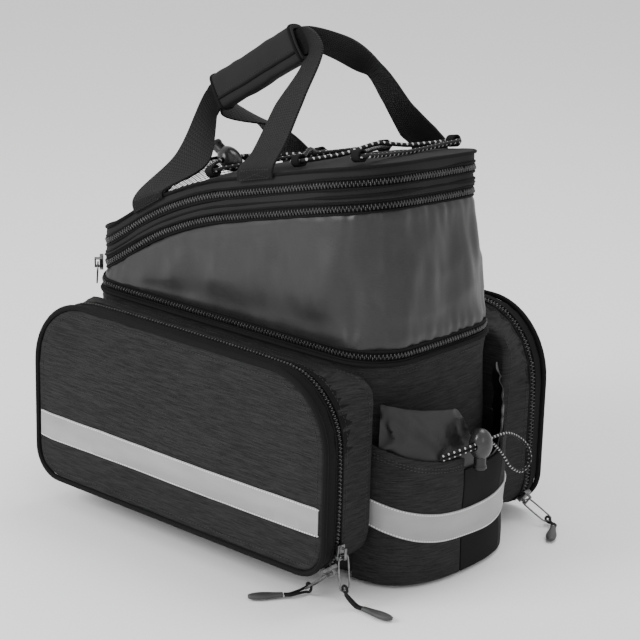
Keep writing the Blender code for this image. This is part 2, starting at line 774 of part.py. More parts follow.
def add_handles(webbing, padding):
    add_ribbon("handle_strap_near", handle_rows(-1, NEAR_HANDLE_X, NEAR_FALL), STRAP_WIDTH,
               STRAP_THICKNESS, 30, webbing)
    add_ribbon("handle_strap_far", handle_rows(1, FAR_HANDLE_X, FAR_FALL), STRAP_WIDTH,
               STRAP_THICKNESS, 30, webbing)
    axis = (GRIP_END - GRIP_START).normalized()
    upright = Vector((-axis.z, 0.0, axis.x))
    across = Vector((0.0, 1.0, 0.0))

    def section(centre, half_width, half_thickness):
        points = []
        for k in range(12):
            angle = 2 * math.pi * (k + 0.5) / 12
            wide = math.copysign(abs(math.cos(angle)) ** 0.35, math.cos(angle)) * half_width
            thick = math.copysign(abs(math.sin(angle)) ** 0.5, math.sin(angle)) * half_thickness
            points.append(centre + upright * wide + across * thick)
        return points

    inner_width = STRAP_WIDTH * GRIP_GATHER / 2 + GRIP_ROOM
    inner_thickness = GRIP_THICKNESS / 2 - GRIP_WALL
    outer_width = inner_width + GRIP_WALL
    shares = (0.0, 0.06, 0.5, 0.94, 1.0)
    swell = (0.86, 1.0, 1.04, 1.0, 0.86)
    outer = [section(GRIP_START.lerp(GRIP_END, s), outer_width, GRIP_THICKNESS / 2 * w)
             for s, w in zip(shares, swell)]
    inner = [section(GRIP_START.lerp(GRIP_END, s), inner_width, inner_thickness) for s in reversed(shares)]
    loft("handle_grip", outer + inner, padding, around=True)


def tube(name, points, radius, sides, material, around=False):
    """A round bar through points, kept upright by one steady direction."""
    count = len(points)
    rings = []
    for i, point in enumerate(points):
        if around:
            ahead, behind = points[(i + 1) % count], points[i - 1]
        else:
            ahead, behind = points[min(i + 1, count - 1)], points[max(i - 1, 0)]
        along = (ahead - behind).normalized()
        across = along.cross(Vector((0.05, 0.03, 1.0))).normalized()
        lift = across.cross(along)
        rings.append([point + across * radius * math.cos(2 * math.pi * k / sides)
                      + lift * radius * math.sin(2 * math.pi * k / sides) for k in range(sides)])
    return loft(name, rings, material, around=around)


BUNGEE_ANCHOR_RISE = BUNGEE_LOOP_RADIUS + CLEAR
LID_LOCK_X = -0.070
LID_LOCK_TILT = math.radians(120)
LID_LOCK_RISE = 0.0125


def bungee_route():
    """The closed route of the lid's cord: zigzag out over one set of loops and back over the other."""
    reach = LID_HALF - BUNGEE_LOOP_INSET
    lock = Vector((LID_LOCK_X, 0.0, crown_z(LID_LOCK_X, 0.0) + LID_LOCK_RISE))
    near, far = BUNGEE_NEAR_X, BUNGEE_FAR_X
    outward = [(far[0], 1, 1), (near[1], -1, 1), (far[2], 1, 1)]
    homeward = [(near[2], -1, -1), (far[1], 1, -1), (near[0], -1, -1)]
    stops = outward + homeward

    def anchor(x, side, way):
        half = BUNGEE_LOOP_WIDTH / 2 + 1.5 * BUNGEE_RADIUS
        y = side * reach
        return [Vector((x + way * half * k, y, crown_z(x + way * half * k, y) + BUNGEE_ANCHOR_RISE))
                for k in (-1, 1)]

    side_step = Vector((0.0, LOCK_RADIUS + 0.004, 0.0))
    route = [lock - side_step, lock, lock + side_step]
    for index, (x, side, way) in enumerate(stops):
        here = anchor(x, side, way)
        if index > 0:
            before = route[-1]
            after = here[0]
            over = index in (1, 2)
            shares = (0.12, 0.28, 0.42, 0.5, 0.58, 0.72, 0.88) if over else (0.15, 0.5, 0.85)
            for share in shares:
                px = before.x + (after.x - before.x) * share
                py = before.y + (after.y - before.y) * share
                rise = BUNGEE_RADIUS + 2 * CLEAR
                rise += (BUNGEE_ANCHOR_RISE - rise) * abs(2 * share - 1) ** 3
                if over:
                    rise += 2.6 * BUNGEE_RADIUS * math.exp(-((share - 0.5) / 0.14) ** 2)
                route.append(Vector((px, py, crown_z(px, py) + rise)))
        route += here
    return route


def add_bungee(elastic, webbing):
    tube("bungee_cord", bungee_route(), BUNGEE_RADIUS, 6, elastic, around=True)
    reach = LID_HALF - BUNGEE_LOOP_INSET
    for side, word, places in ((-1, "near", BUNGEE_NEAR_X), (1, "far", BUNGEE_FAR_X)):
        for index, x in enumerate(places):
            slope = lid_slope(x)
            along = Vector((math.cos(slope), 0, math.sin(slope)))
            up = Vector((-along.z, 0, along.x))
            across = Vector((0, 1, 0))
            seat = BUNGEE_ANCHOR_RISE + CLEAR - BUNGEE_LOOP_SINK[index]
            centre = Vector((x, side * reach, crown_z(x, side * reach) + seat))
            rings = []
            for k in range(10):
                angle = 2 * math.pi * k / 10
                ray = across * math.cos(angle) * 1.15 + up * math.sin(angle)
                outer = centre + ray * BUNGEE_LOOP_RADIUS
                inner = centre + ray * (BUNGEE_LOOP_RADIUS - BUNGEE_LOOP_WALL)
                half = along * BUNGEE_LOOP_WIDTH / 2
                rings.append([inner - half, outer - half, outer + half, inner + half])
            loft(f"bungee_loop_{word}_{index + 1}", rings, webbing, around=True)


def add_net(mesh_cloth):
    """The net pocket: a puffed sheet on the lid's front slope, cut through in a diamond field."""
    data = bmesh.new()
    grid = []
    for i in range(NET_COLUMNS + 1):
        along = i / NET_COLUMNS
        row = []
        for j in range(NET_ROWS + 1):
            side = 2 * j / NET_ROWS - 1
            x = NET_FRONT_X + (NET_REAR_X - NET_FRONT_X) * along
            y = side * NET_WIDTH / 2 * (0.80 + 0.20 * along)
            puff = NET_LIFT * math.sin(math.pi / 2 * along) ** 1.2 * (1 - abs(side) ** 2.4)
            row.append(data.verts.new((x, y, crown_z(x, y) + NET_SEAT + puff)))
        grid.append(row)
    cells = []
    for i in range(NET_COLUMNS):
        for j in range(NET_ROWS):
            corners = (grid[i][j], grid[i + 1][j], grid[i + 1][j + 1], grid[i][j + 1])
            cells.append(data.faces.new(corners))
    data.normal_update()
    bmesh.ops.inset_individual(data, faces=cells, thickness=NET_BAR, depth=0.0)
    bmesh.ops.delete(data, geom=cells, context="FACES_ONLY")
    net = add_object("net_pocket", data, mesh_cloth)
    thicken = net.modifiers.new("thread", "SOLIDIFY")
    thicken.thickness = NET_THREAD
    thicken.offset = 1.0
    return net


def round_body(name, profile, sides, material):
    """A turned solid from (height, radius) rows."""
    turns = [2 * math.pi * k / sides for k in range(sides)]
    rings = [[Vector((radius * math.cos(a), radius * math.sin(a), z)) for a in turns] for z, radius in profile]
    return loft(name, rings, material)


def box_cutter(name, size, centre):
    data = bmesh.new()
    bmesh.ops.create_cube(data, size=1.0, matrix=Matrix.Translation(centre) @ Matrix.Diagonal((*size, 1.0)))
    return add_cutter(name, data)


def add_cutter(name, data):
    mesh = bpy.data.meshes.new(name)
    data.to_mesh(mesh)
    data.free()
    cutter = bpy.data.objects.new(name, mesh)
    bpy.context.scene.collection.objects.link(cutter)
    cutter.hide_render = True
    cutter.display_type = "WIRE"
    return cutter


def round_cutter(name, radius, depth, centre, axis="Z"):
    data = bmesh.new()
    turn = Matrix.Rotation(math.pi / 2, 4, "X") if axis == "Y" else Matrix.Identity(4)
    bmesh.ops.create_cone(data, cap_ends=True, segments=10, radius1=radius, radius2=radius, depth=depth,
                          matrix=Matrix.Translation(centre) @ turn)
    return add_cutter(name, data)


def cut(target, cutter):
    modifier = target.modifiers.new(cutter.name, "BOOLEAN")
    modifier.operation = "DIFFERENCE"
    modifier.solver = "EXACT"
    modifier.object = cutter


def add_cord_lock(prefix, centre, turn, cord_hole, plastic, dark_plastic):
    """A ball cord lock; its plunger comes out of the ball along local -Z, its cord passes along local Y."""
    frame = Matrix.Translation(centre) @ turn
    half = LOCK_HALF_HEIGHT
    profile = [(half * math.sin(a), LOCK_RADIUS * math.cos(a)) for a in
               (math.radians(d) for d in (-66, -45, -20, 5, 30, 52, 75))]
    ball = round_body(prefix, profile, 12, plastic)
    bore_top = half * 0.55
    bore = round_cutter(prefix + "_bore", LOCK_BORE + CLEAR, bore_top + 2 * half, (0, 0, bore_top / 2 - half))
    hole = round_cutter(prefix + "_cord_hole", cord_hole, 4 * LOCK_RADIUS, (0, 0, 0), "Y")
    foot_z = -half - LOCK_TRAVEL - PLUNGER_FOOT_HEIGHT - CLEAR
    stem_top = bore_top - LOCK_TRAVEL - 2 * CLEAR
    stem = round_body(prefix + "_plunger", [
        (foot_z, PLUNGER_FOOT / 2), (foot_z + PLUNGER_FOOT_HEIGHT * 0.8, PLUNGER_FOOT / 2),
        (foot_z + PLUNGER_FOOT_HEIGHT, LOCK_BORE), (stem_top, LOCK_BORE)], 12, dark_plastic)
    slot_low = -cord_hole - LOCK_TRAVEL - CLEAR
    slot_high = cord_hole
    slot = box_cutter(prefix + "_slot", (2 * cord_hole, 4 * LOCK_RADIUS, slot_high - slot_low),
                      (0, 0, (slot_high + slot_low) / 2))
    cut(ball, bore)
    cut(ball, hole)
    cut(stem, slot)
    for obj in (ball, stem, bore, hole, slot):
        obj.matrix_world = frame
    return ball, stem


def slider_frame(point, along, out):
    """Local X runs along the zip, local Z points out of the bag."""
    x = Vector(along).normalized()
    z = Vector(out).normalized()
    y = z.cross(x)
    return Matrix.Translation(point) @ Matrix((x, y, z)).transposed().to_4x4()


def add_slider(name, frame, metal):
    """A slider body with a bridge that its ring hangs from."""
    half = SLIDER_LENGTH / 2
    shoulder = -half * 0.4
    outline = ((-half, -0.28), (shoulder, -0.5), (half, -0.42), (half, 0.42), (shoulder, 0.5), (-half, 0.28))
    rings = [[Vector((x, share * SLIDER_WIDTH, z)) for x, share in outline] for z in (0.0, SLIDER_HEIGHT)]
    body = loft(name, rings, metal)
    top = SLIDER_HEIGHT + BRIDGE_HEIGHT
    foot = SLIDER_HEIGHT - BRIDGE_SINK
    far = BRIDGE_LENGTH / 2
    near = far - BRIDGE_BAR
    stations = (((-far, foot), (-near, foot)), ((-far, top), (-near, top - BRIDGE_BAR)),
                ((far, top), (near, top - BRIDGE_BAR)), ((far, foot), (near, foot)))
    low, high = -BRIDGE_WIDTH / 2, BRIDGE_WIDTH / 2
    rings = []
    for outer, inner in stations:
        rings.append([Vector((outer[0], low, outer[1])), Vector((outer[0], high, outer[1])),
                      Vector((inner[0], high, inner[1])), Vector((inner[0], low, inner[1]))])
    bridge = loft(name + "_bridge", rings, metal)
    bridge.hide_render = True
    bridge.display_type = "WIRE"
    union = body.modifiers.new("bridge", "BOOLEAN")
    union.operation = "UNION"
    union.solver = "EXACT"
    union.object = bridge
    body.matrix_world = frame
    bridge.matrix_world = frame
    return body


def add_ring(name, bar, direction, across, length, metal):
    """A wire ring that hangs from its bar: direction points down the ring, across lies along the bar."""
    down = Vector(direction).normalized()
    wide = Vector(across).normalized()
    half = RING_WIDTH / 2
    corner = half * 0.55
    points = []
    for cx, cz, start in ((half - corner, corner, -90), (half - corner, length - corner, 0),
                          (-half + corner, length - corner, 90), (-half + corner, corner, 180)):
        for k in range(3):
            angle = math.radians(start + 45 * k)
            side_way = wide * (cx + corner * math.cos(angle))
            points.append(Vector(bar) + side_way + down * (cz + corner * math.sin(angle)))
    count = len(points)
    normal = down.cross(wide)
    rings = []
    for i, point in enumerate(points):
        along = (points[(i + 1) % count] - points[i - 1]).normalized()
        side = along.cross(normal)
        rings.append([point + (side * math.cos(turn) + normal * math.sin(turn)) * RING_WIRE
                      for turn in (2 * math.pi * k / 5 for k in range(5))])
    return loft(name, rings, metal, around=True)


def add_cord(name, route, radius, spacing, material):
    """A soft cord: a curve with round section through points read from a smooth route."""
    points = [Vector(point) for point in route]
    dense = [curve_point(points, (len(points) - 1) * k / 400) for k in range(401)]
    length = sum((b - a).length for a, b in zip(dense, dense[1:]))
    count = max(int(length / spacing), 4)
    places = []
    walked = 0.0
    target = 0.0
    for a, b in zip(dense, dense[1:]):
        step = (b - a).length
        while target <= walked + step + 1e-9 and len(places) <= count:
            places.append(a.lerp(b, min(max((target - walked) / step, 0.0), 1.0)))
            target += length / count
        walked += step
    if len(places) <= count:
        places.append(points[-1])
    curve = bpy.data.curves.new(name, "CURVE")
    curve.dimensions = "3D"
    spline = curve.splines.new("POLY")
    spline.points.add(len(places) - 1)
    for point, place in zip(spline.points, places):
        point.co = (*place, 1.0)
    curve.bevel_depth = radius
    curve.bevel_resolution = 2
    curve.use_fill_caps = True
    curve.materials.append(material)
    obj = bpy.data.objects.new(name, curve)
    bpy.context.scene.collection.objects.link(obj)
    return obj


def add_pull_end(name, start, direction, rubber):
    """A moulded end: narrow at the cord, swelling to a rounded tab; it lies on its wide face."""
    along = Vector(direction).normalized()
    across = Vector((-along.y, along.x, 0.0)).normalized()
    up = along.cross(across)
    if up.z < 0:
        across, up = -across, -up
    rows = ((0.0, 0.52, 0.75), (0.30, 0.62, 0.85), (0.55, 1.0, 1.0), (0.85, 0.9, 0.9), (1.0, 0.45, 0.6))
    rings = []
    for share, wide, thick in rows:
        centre = Vector(start) + along * PULL_END_LENGTH * share
        ring = []
        for k in range(8):
            angle = 2 * math.pi * (k + 0.5) / 8
            ring.append(centre + across * math.cos(angle) * wide * PULL_END_WIDTH / 2
                        + up * math.sin(angle) * thick * PULL_END_THICKNESS / 2)
        rings.append(ring)
    return loft(name, rings, rubber)


def add_pouch_slider(prefix, side, angle, height, ring_way, pull_start, pull_way, metal, elastic, rubber):
    """A slider on a pouch's rear zip with its ring, cord and moulded end."""
    zip_y = side * (POUCH_FACE_Y - POUCH_FRONT_GUSSET - CLEAR - ZIP_WIDTH / 2)
    turn = math.radians(angle)
    out = Vector((math.cos(turn), 0.0, math.sin(turn)))
    along = Vector((-out.z, 0.0, out.x))
    if angle == 0:
        foot = Vector((POUCH_LENGTH / 2, zip_y, pouch_hang(side, height)))
    else:
        centre = Vector((POUCH_LENGTH / 2 - POUCH_BOTTOM_RADIUS, zip_y, POUCH_FLOOR_Z + POUCH_BOTTOM_RADIUS))
        foot = centre + out * POUCH_BOTTOM_RADIUS
        foot.z = pouch_hang(side, foot.z)
    add_slider(prefix + "_slider", slider_frame(foot + out * ZIP_FACE, along, out), metal)
    down = Vector(ring_way).normalized()
    bar = foot + out * (ZIP_FACE + BAR_HEIGHT) - along * RING_BAR_SETBACK
    add_ring(prefix + "_ring", bar, down, (0, 1, 0), RING_LENGTH, metal)
    low_bar = bar + down * RING_LENGTH
    start = Vector(pull_start)
    way = Vector(pull_way).normalized()
    beside = Vector((-way.y, way.x, 0.0)) * PULL_CORD_RADIUS * PULL_STRAND_SPACING
    if (low_bar + beside - start).length < (low_bar - beside - start).length:
        beside = -beside
    reach = RING_WIRE + PULL_CORD_RADIUS + 3 * CLEAR
    front = Vector((way.x, 0.0, 0.0)) - down * way.x * down.x
    front = front.normalized()
    low = PULL_CORD_RADIUS + 3 * CLEAR
    lead = start - way * PULL_LEAD
    tip = start - way * PULL_END_GAP
    first = [tip + beside, lead + beside]
    last = [lead - beside, tip - beside]
    loop = []
    last_step = PULL_LOOP_STEPS - 1
    for k in range(PULL_LOOP_STEPS):
        angle = math.radians(PULL_LOOP_START + PULL_LOOP_SWEEP * k / last_step)
        step = front * math.cos(angle) - down * math.sin(angle)
        shift = math.copysign(PULL_LOOP_SHIFT, beside.y) * (1 - 2 * k / last_step)
        loop.append(low_bar + step * reach + Vector((0.0, shift, 0.0)))
    for place in loop:
        place.z = max(place.z, low)
    route = first + loop + last
    add_cord(prefix + "_pull_cord", route, PULL_CORD_DRAWN, PULL_CORD_PITCH, elastic)
    add_pull_end(prefix + "_pull_end", start, pull_way, rubber)


def add_drawcord(elastic, plastic, dark_plastic):
    """The pocket's cord lock hangs in front of the pocket, with both strands through it."""
    surface_x, surface_y = pocket_point(POCKET_LOCK_ANGLE, WALL)
    centre = Vector((surface_x + CLEAR * 2 + LOCK_RADIUS, surface_y, POCKET_LOCK_Z))
    add_cord_lock("pocket_cord_lock", centre, Matrix.Identity(4), DRAWCORD_HOLE, plastic, dark_plastic)
    hem_x, hem_y = pocket_point(POCKET_CORD_ANGLE, WALL / 2)
    strand = Vector((0.0, 0.0, DRAWCORD_SPACING))
    gap = Vector((0.0, LOCK_RADIUS + 0.002, 0.0))
    start = Vector((hem_x, hem_y, hem_z(POCKET_CORD_ANGLE) + DRAWCORD_HEM_RISE))
    half_way = start.lerp(centre - gap, DRAWCORD_MIDDLE) + Vector(DRAWCORD_BOW)
    loop = [centre + Vector(step) for step in POCKET_LOOP]
    route = [start + strand, half_way + strand, centre - gap + strand, centre + strand, centre + gap + strand]
    route += loop
    route += [place - strand for place in (centre + gap, centre, centre - gap, half_way, start)]
    add_cord("pocket_drawcord", route, DRAWCORD_RADIUS, DRAWCORD_PITCH, elastic)


def add_front_slider(metal):
    """A slider at the front corner of the lid's lower zip, with a short ring hanging from it."""
    turn = math.radians(225)
    out = Vector((math.cos(turn), math.sin(turn), 0.0))
    x = LID_FRONT_X + LID_FRONT_RADIUS * (1 + out.x)
    y = -LID_HALF + LID_FRONT_RADIUS * (1 + out.y)
    level = Vector((-out.y, out.x, 0.0))
    along = (level * 0.35 + Vector((0, 0, 0.94))).normalized()
    foot = Vector((x, y, lid_line(x, y) + ZIP_WIDTH * 0.45)) + out * (ZIP_FACE + FRONT_SLIDER_RISE)
    frame = slider_frame(foot, along, out)
    add_slider("front_slider", frame, metal)
    bar = frame @ Vector((-RING_BAR_SETBACK, 0.0, BAR_HEIGHT))
    across = out.cross(along)
    add_ring("front_ring", bar, -along + out * 0.05, across, RING_LENGTH * 0.65, metal)


def main():
    for obj in list(bpy.data.objects):
        bpy.data.objects.remove(obj, do_unlink=True)
    heather = make_material("heathered_polyester", (0.035, 0.036, 0.038), 0.85)
    plain = make_material("dark_cloth", (0.022, 0.023, 0.025), 0.8)
    nylon = make_material("charcoal_nylon", (0.045, 0.046, 0.050), 0.45)
    tape = make_material("zip_tape", (0.012, 0.012, 0.013), 0.6)
    trim = make_material("piping", (0.014, 0.014, 0.015), 0.6)
    webbing = make_material("webbing", (0.010, 0.010, 0.011), 0.7)
    padding = make_material("grip_padding", (0.030, 0.031, 0.034), 0.75)
    net_cloth = make_material("net", (0.010, 0.010, 0.010), 0.7)
    elastic = make_material("elastic_cord", (0.015, 0.015, 0.016), 0.7)
    reflective = make_material("reflective_tape", (0.42, 0.43, 0.44), 0.4)
    plastic = make_material("lock_plastic", (0.05, 0.052, 0.056), 0.4)
    metal = make_material("zip_metal", (0.28, 0.28, 0.29), 0.3, 1.0)
    rubber = make_material("pull_rubber", (0.09, 0.095, 0.10), 0.6)
    dark_plastic = make_material("plunger_plastic", (0.03, 0.03, 0.033), 0.4)

    add_body(heather)
    add_body_zip(tape)
    add_sleeve(nylon)
    add_lid_zip("lid_lower_zip", 0.0, tape)
    add_lid_band(plain)
    add_lid_zip("lid_upper_zip", LID_ZIP_BASE, tape)
    add_lid_top(plain)
    for prefix, side in (("near", -1), ("far", 1)):
        add_pouch(prefix, side, heather, plain, tape, trim, reflective)
    add_pocket(heather, plain, nylon, reflective)
    add_handles(webbing, padding)
    add_bungee(elastic, webbing)
    add_net(net_cloth)
    add_cord_lock("lid_cord_lock", Vector((LID_LOCK_X, 0.0, crown_z(LID_LOCK_X, 0.0) + LID_LOCK_RISE)),
                  Matrix.Rotation(LID_LOCK_TILT, 4, "Y"), BUNGEE_RADIUS + 2 * CLEAR, plastic, dark_plastic)
    add_drawcord(elastic, plastic, dark_plastic)
    add_pouch_slider("near_upper", -1, 0, 0.043, (0.10, 0.0, -1.0), (0.174, -0.111, PULL_REST_Z),
                     (0.95, 0.05, 0.0), metal, elastic, rubber)
    add_pouch_slider("near_lower", -1, -52, 0.0, (-0.75, 0.0, -0.66), (0.117, -0.134, PULL_REST_Z),
                     (-0.62, -0.78, 0.0), metal, elastic, rubber)
    add_pouch_slider("far", 1, -35, 0.0, (0.90, 0.0, -0.40), (0.185, 0.110, PULL_REST_Z),
                     (0.50, -0.86, 0.0), metal, elastic, rubber)
    add_front_slider(metal)


main()
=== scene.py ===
# %% [markdown]
# This lesson dresses an expandable trunk bag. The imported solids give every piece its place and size.
# Each soft solid is turned into a finer cloth shape with folds, puckers, stitches and zip teeth.
# Everything is in metres, with the floor at height zero and the bag's rear pocket towards +X.

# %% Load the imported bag
import math

import bmesh
import bpy
from mathutils import Matrix, Vector, noise
from mathutils.bvhtree import BVHTree


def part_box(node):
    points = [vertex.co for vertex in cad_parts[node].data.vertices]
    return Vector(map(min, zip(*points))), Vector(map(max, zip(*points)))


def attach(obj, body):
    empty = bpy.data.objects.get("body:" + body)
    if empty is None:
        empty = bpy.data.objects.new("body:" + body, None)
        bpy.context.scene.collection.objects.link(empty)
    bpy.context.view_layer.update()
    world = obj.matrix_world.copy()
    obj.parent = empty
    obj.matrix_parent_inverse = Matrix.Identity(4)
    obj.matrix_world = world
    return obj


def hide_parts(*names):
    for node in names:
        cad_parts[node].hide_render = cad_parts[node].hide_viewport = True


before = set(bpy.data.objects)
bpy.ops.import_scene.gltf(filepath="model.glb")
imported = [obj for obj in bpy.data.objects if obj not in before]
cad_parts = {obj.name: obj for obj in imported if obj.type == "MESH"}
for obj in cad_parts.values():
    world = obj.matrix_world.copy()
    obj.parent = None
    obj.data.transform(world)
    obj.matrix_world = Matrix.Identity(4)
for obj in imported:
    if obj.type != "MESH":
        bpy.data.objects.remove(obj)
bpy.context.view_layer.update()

BAG = "bag"
print("solids in the packed bag:", len(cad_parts))

# %% [markdown]
# The photograph was taken from the rear left, a little above the bag, with a long lens.
# A camera is a place, a turn and a lens. The turn is built from three directions: right, up and back.

# %% Put the camera where the photograph was taken
VIEW_TURN = math.radians(40.96)
VIEW_RISE = math.radians(17.23)
VIEW_ROLL = math.radians(1.55)
VIEW_DISTANCE = 1.611
VIEW_TARGET = Vector((0.0195, 0.0113, 0.1597))
SENSOR = 36.0
FOCAL_PIXELS = 2044.31
PICTURE = 640

view_back = Vector((math.sin(VIEW_TURN) * math.cos(VIEW_RISE), -math.cos(VIEW_TURN) * math.cos(VIEW_RISE),
                    math.sin(VIEW_RISE)))
view_right = Vector((math.cos(VIEW_TURN), math.sin(VIEW_TURN), 0.0))
view_up = view_back.cross(view_right)
rolled_right = view_right * math.cos(VIEW_ROLL) + view_up * math.sin(VIEW_ROLL)
rolled_up = view_up * math.cos(VIEW_ROLL) - view_right * math.sin(VIEW_ROLL)

lens = bpy.data.cameras.new("photo_camera")
lens.sensor_width = SENSOR
lens.lens = FOCAL_PIXELS * SENSOR / PICTURE
camera = bpy.data.objects.new("photo_camera", lens)
bpy.context.scene.collection.objects.link(camera)
turn = Matrix((rolled_right, rolled_up, view_back)).transposed().to_4x4()
camera.matrix_world = Matrix.Translation(VIEW_TARGET + view_back * VIEW_DISTANCE) @ turn
bpy.context.scene.camera = camera
print("lens in mm:", round(lens.lens, 1))

# %% [markdown]
# The bag stands on a plain pale floor under soft studio light. A pale world fills the shadows,
# and three large area lights give the nylon its soft bright bands.

# %% Floor and lights
FLOOR_HALF = 3.0
floor_shape = bmesh.new()
bmesh.ops.create_grid(floor_shape, x_segments=1, y_segments=1, size=FLOOR_HALF)
floor_mesh = bpy.data.meshes.new("studio_floor")
floor_shape.to_mesh(floor_mesh)
floor_shape.free()
floor = bpy.data.objects.new("studio_floor", floor_mesh)
bpy.context.scene.collection.objects.link(floor)
floor_paint = bpy.data.materials.new("studio_paint")
floor_paint.use_nodes = True
paint = floor_paint.node_tree.nodes["Principled BSDF"]
paint.inputs["Base Color"].default_value = (0.93, 0.93, 0.93, 1.0)
paint.inputs["Roughness"].default_value = 0.9
floor_mesh.materials.append(floor_paint)

world = bpy.data.worlds.new("studio")
world.use_nodes = True
world.node_tree.nodes["Background"].inputs["Color"].default_value = (1.0, 1.0, 1.0, 1.0)
world.node_tree.nodes["Background"].inputs["Strength"].default_value = 1.0
bpy.context.scene.world = world


def add_light(name, place, aim, size, power):
    lamp = bpy.data.lights.new(name, "AREA")
    lamp.shape = "SQUARE"
    lamp.size = size
    lamp.energy = power
    holder = bpy.data.objects.new(name, lamp)
    bpy.context.scene.collection.objects.link(holder)
    way = Vector(aim) - Vector(place)
    holder.matrix_world = Matrix.Translation(place) @ way.to_track_quat("-Z", "Y").to_matrix().to_4x4()
    return holder


BAG_MIDDLE = (0.0, 0.0, 0.17)
add_light("key_light", (-0.7, -1.6, 1.2), BAG_MIDDLE, 0.8, 30.0)
add_light("rear_light", (1.7, -0.9, 0.9), BAG_MIDDLE, 0.5, 3.0)
add_light("top_light", (0.1, 0.6, 1.9), BAG_MIDDLE, 1.0, 16.0)

# %% [markdown]
# Shader maths reads best as plain expressions. This small class wraps one socket, so a
# sum or product of two wires adds a Math node by itself.

# %% A wire that can be added and multiplied


class Wire:
    def __init__(self, finish, socket):
        self.finish = finish
        self.socket = socket

    def maths(self, operation, first, second):
        return self.finish.node("ShaderNodeMath", {"operation": operation}, {0: first, 1: second})

    def __add__(self, other):
        return self.maths("ADD", self, other)

    __radd__ = __add__

    def __mul__(self, other):
        return self.maths("MULTIPLY", self, other)

    __rmul__ = __mul__

    def __sub__(self, other):
        return self.maths("SUBTRACT", self, other)

    def __rsub__(self, other):
        return self.maths("SUBTRACT", other, self)

    def __gt__(self, other):
        return self.maths("GREATER_THAN", self, other)

    def wave(self, pitch):
        """A wave from 0 to 1 that repeats every pitch metres."""
        return self.maths("SINE", self * (2 * math.pi / pitch), 0.0) * 0.5 + 0.5

    def clamp(self):
        return self.finish.node("ShaderNodeClamp", {}, {"Value": self})


class Finish:
    """One material: a Principled surface, and one method that makes every other node."""

    def __init__(self, name, roughness=0.8, fixed=None, metallic=0.0):
        self.material = bpy.data.materials.new(name)
        self.material.use_nodes = True
        self.tree = self.material.node_tree
        self.surface = self.tree.nodes["Principled BSDF"]
        self.surface.inputs["Roughness"].default_value = roughness
        self.surface.inputs["Metallic"].default_value = metallic
        for word, value in (fixed or {}).items():
            self.surface.inputs[word].default_value = value

    def plug(self, socket, value):
        if isinstance(value, Wire):
            self.tree.links.new(value.socket, socket)
        else:
            socket.default_value = value

    def node(self, kind, settings, inputs, out=0):
        made = self.tree.nodes.new(kind)
        for word, value in settings.items():
            setattr(made, word, value)
        for key, value in inputs.items():
            self.plug(made.inputs[key], value)
        return Wire(self, made.outputs[out])

    def places(self):
        return self.node("ShaderNodeTexCoord", {}, {}, "Object")

    def strip(self):
        """The piece's own map: across in the first number, along in the second, both in metres."""
        parted = self.node("ShaderNodeSeparateXYZ", {}, {0: self.node("ShaderNodeTexCoord", {}, {}, "UV")})
        return parted, Wire(self, parted.socket.node.outputs[1])

    def stretch(self, vector, factors):
        return self.node("ShaderNodeVectorMath", {"operation": "MULTIPLY"}, {0: vector, 1: factors})

    def grain(self, vector, scale, detail=2.0, roughness=0.5):
        return self.node("ShaderNodeTexNoise", {}, {"Vector": vector, "Scale": scale, "Detail": detail,
                                                    "Roughness": roughness})

    def spread(self, value, low, high):
        """Stretches the range low to high out to 0 to 1."""
        return self.node("ShaderNodeMapRange", {}, {0: value, 1: low, 2: high})

    def paint(self, share, dark, light):
        """Colours the surface between two greys, by a share from 0 to 1 that changes over it."""
        mix = self.node("ShaderNodeMix", {"data_type": "RGBA"}, {0: share, 6: grey(dark), 7: grey(light)}, 2)
        self.plug(self.surface.inputs["Base Color"], mix)

    def relief(self, height, strength, depth):
        bump = self.node("ShaderNodeBump", {}, {"Strength": strength, "Distance": depth, "Height": height})
        self.plug(self.surface.inputs["Normal"], bump)

    def gloss(self, value):
        self.plug(self.surface.inputs["Roughness"], value)


def grey(level):
    return (level, level, level, 1.0)


print("shader helpers ready")

# %% [markdown]
# The main cloth is a melange polyester: dark yarns and paler yarns lie side by side, so the
# cloth shows short level streaks. Noise squeezed in height gives streaks that follow the weave
# on every upright wall, and a finer noise gives the yarns themselves.

# %% Heathered polyester


def streaked_cloth(name, dark, light, weave_depth):
    cloth = Finish(name, 0.85, {"Specular IOR Level": 0.12})
    place = cloth.places()
    slubs = cloth.spread(cloth.grain(cloth.stretch(place, (70.0, 70.0, 1150.0)), 1.0, 3.0, 0.7), 0.34, 0.68)
    yarns = cloth.spread(cloth.grain(cloth.stretch(place, (420.0, 420.0, 2300.0)), 1.0, 2.0), 0.30, 0.70)
    patches = cloth.grain(place, 16.0)
    cloth.paint((slubs * 0.55 + yarns * 0.30 + patches * 0.15).clamp(), dark, light)
    cloth.gloss(0.74 + 0.16 * yarns)
    cloth.relief(yarns * 0.6 + slubs * 0.4, 0.45, weave_depth)
    return cloth


heather = streaked_cloth("heathered_cloth", 0.004, 0.036, 0.00025)
print("finish:", heather.material.name)

# %% [markdown]
# The raised sleeve and the pocket's collar are satin nylon. It is thin, dense and smooth, so it
# keeps fine creases and shows soft bright bands. The collar's copy is painted much darker than the
# sleeve's, as painted shade for a collar that stands inside the pocket's hem. The lid is a plain dark
# polyester weave.

# %% Nylon and plain dark cloth


def satin_nylon(name, dark, light, roughness):
    nylon = Finish(name, roughness, {"Specular IOR Level": 0.42})
    place = nylon.places()
    threads = nylon.grain(nylon.stretch(place, (260.0, 260.0, 2600.0)), 1.0, 2.0)
    crease_bump_and_shade = nylon.grain(nylon.stretch(place, (90.0, 90.0, 45.0)), 1.0, 4.0, 0.62)
    # The colour follows the crease bump as well as the threads: painted shade in the crease hollows and
    # painted highlight on the crease ridges.
    nylon.paint(nylon.spread(threads * 0.6 + crease_bump_and_shade * 0.4, 0.3, 0.7), dark, light)
    nylon.gloss(roughness - 0.08 + 0.16 * threads)
    nylon.relief(crease_bump_and_shade * 0.8 + threads * 0.2, 0.35, 0.0006)
    return nylon


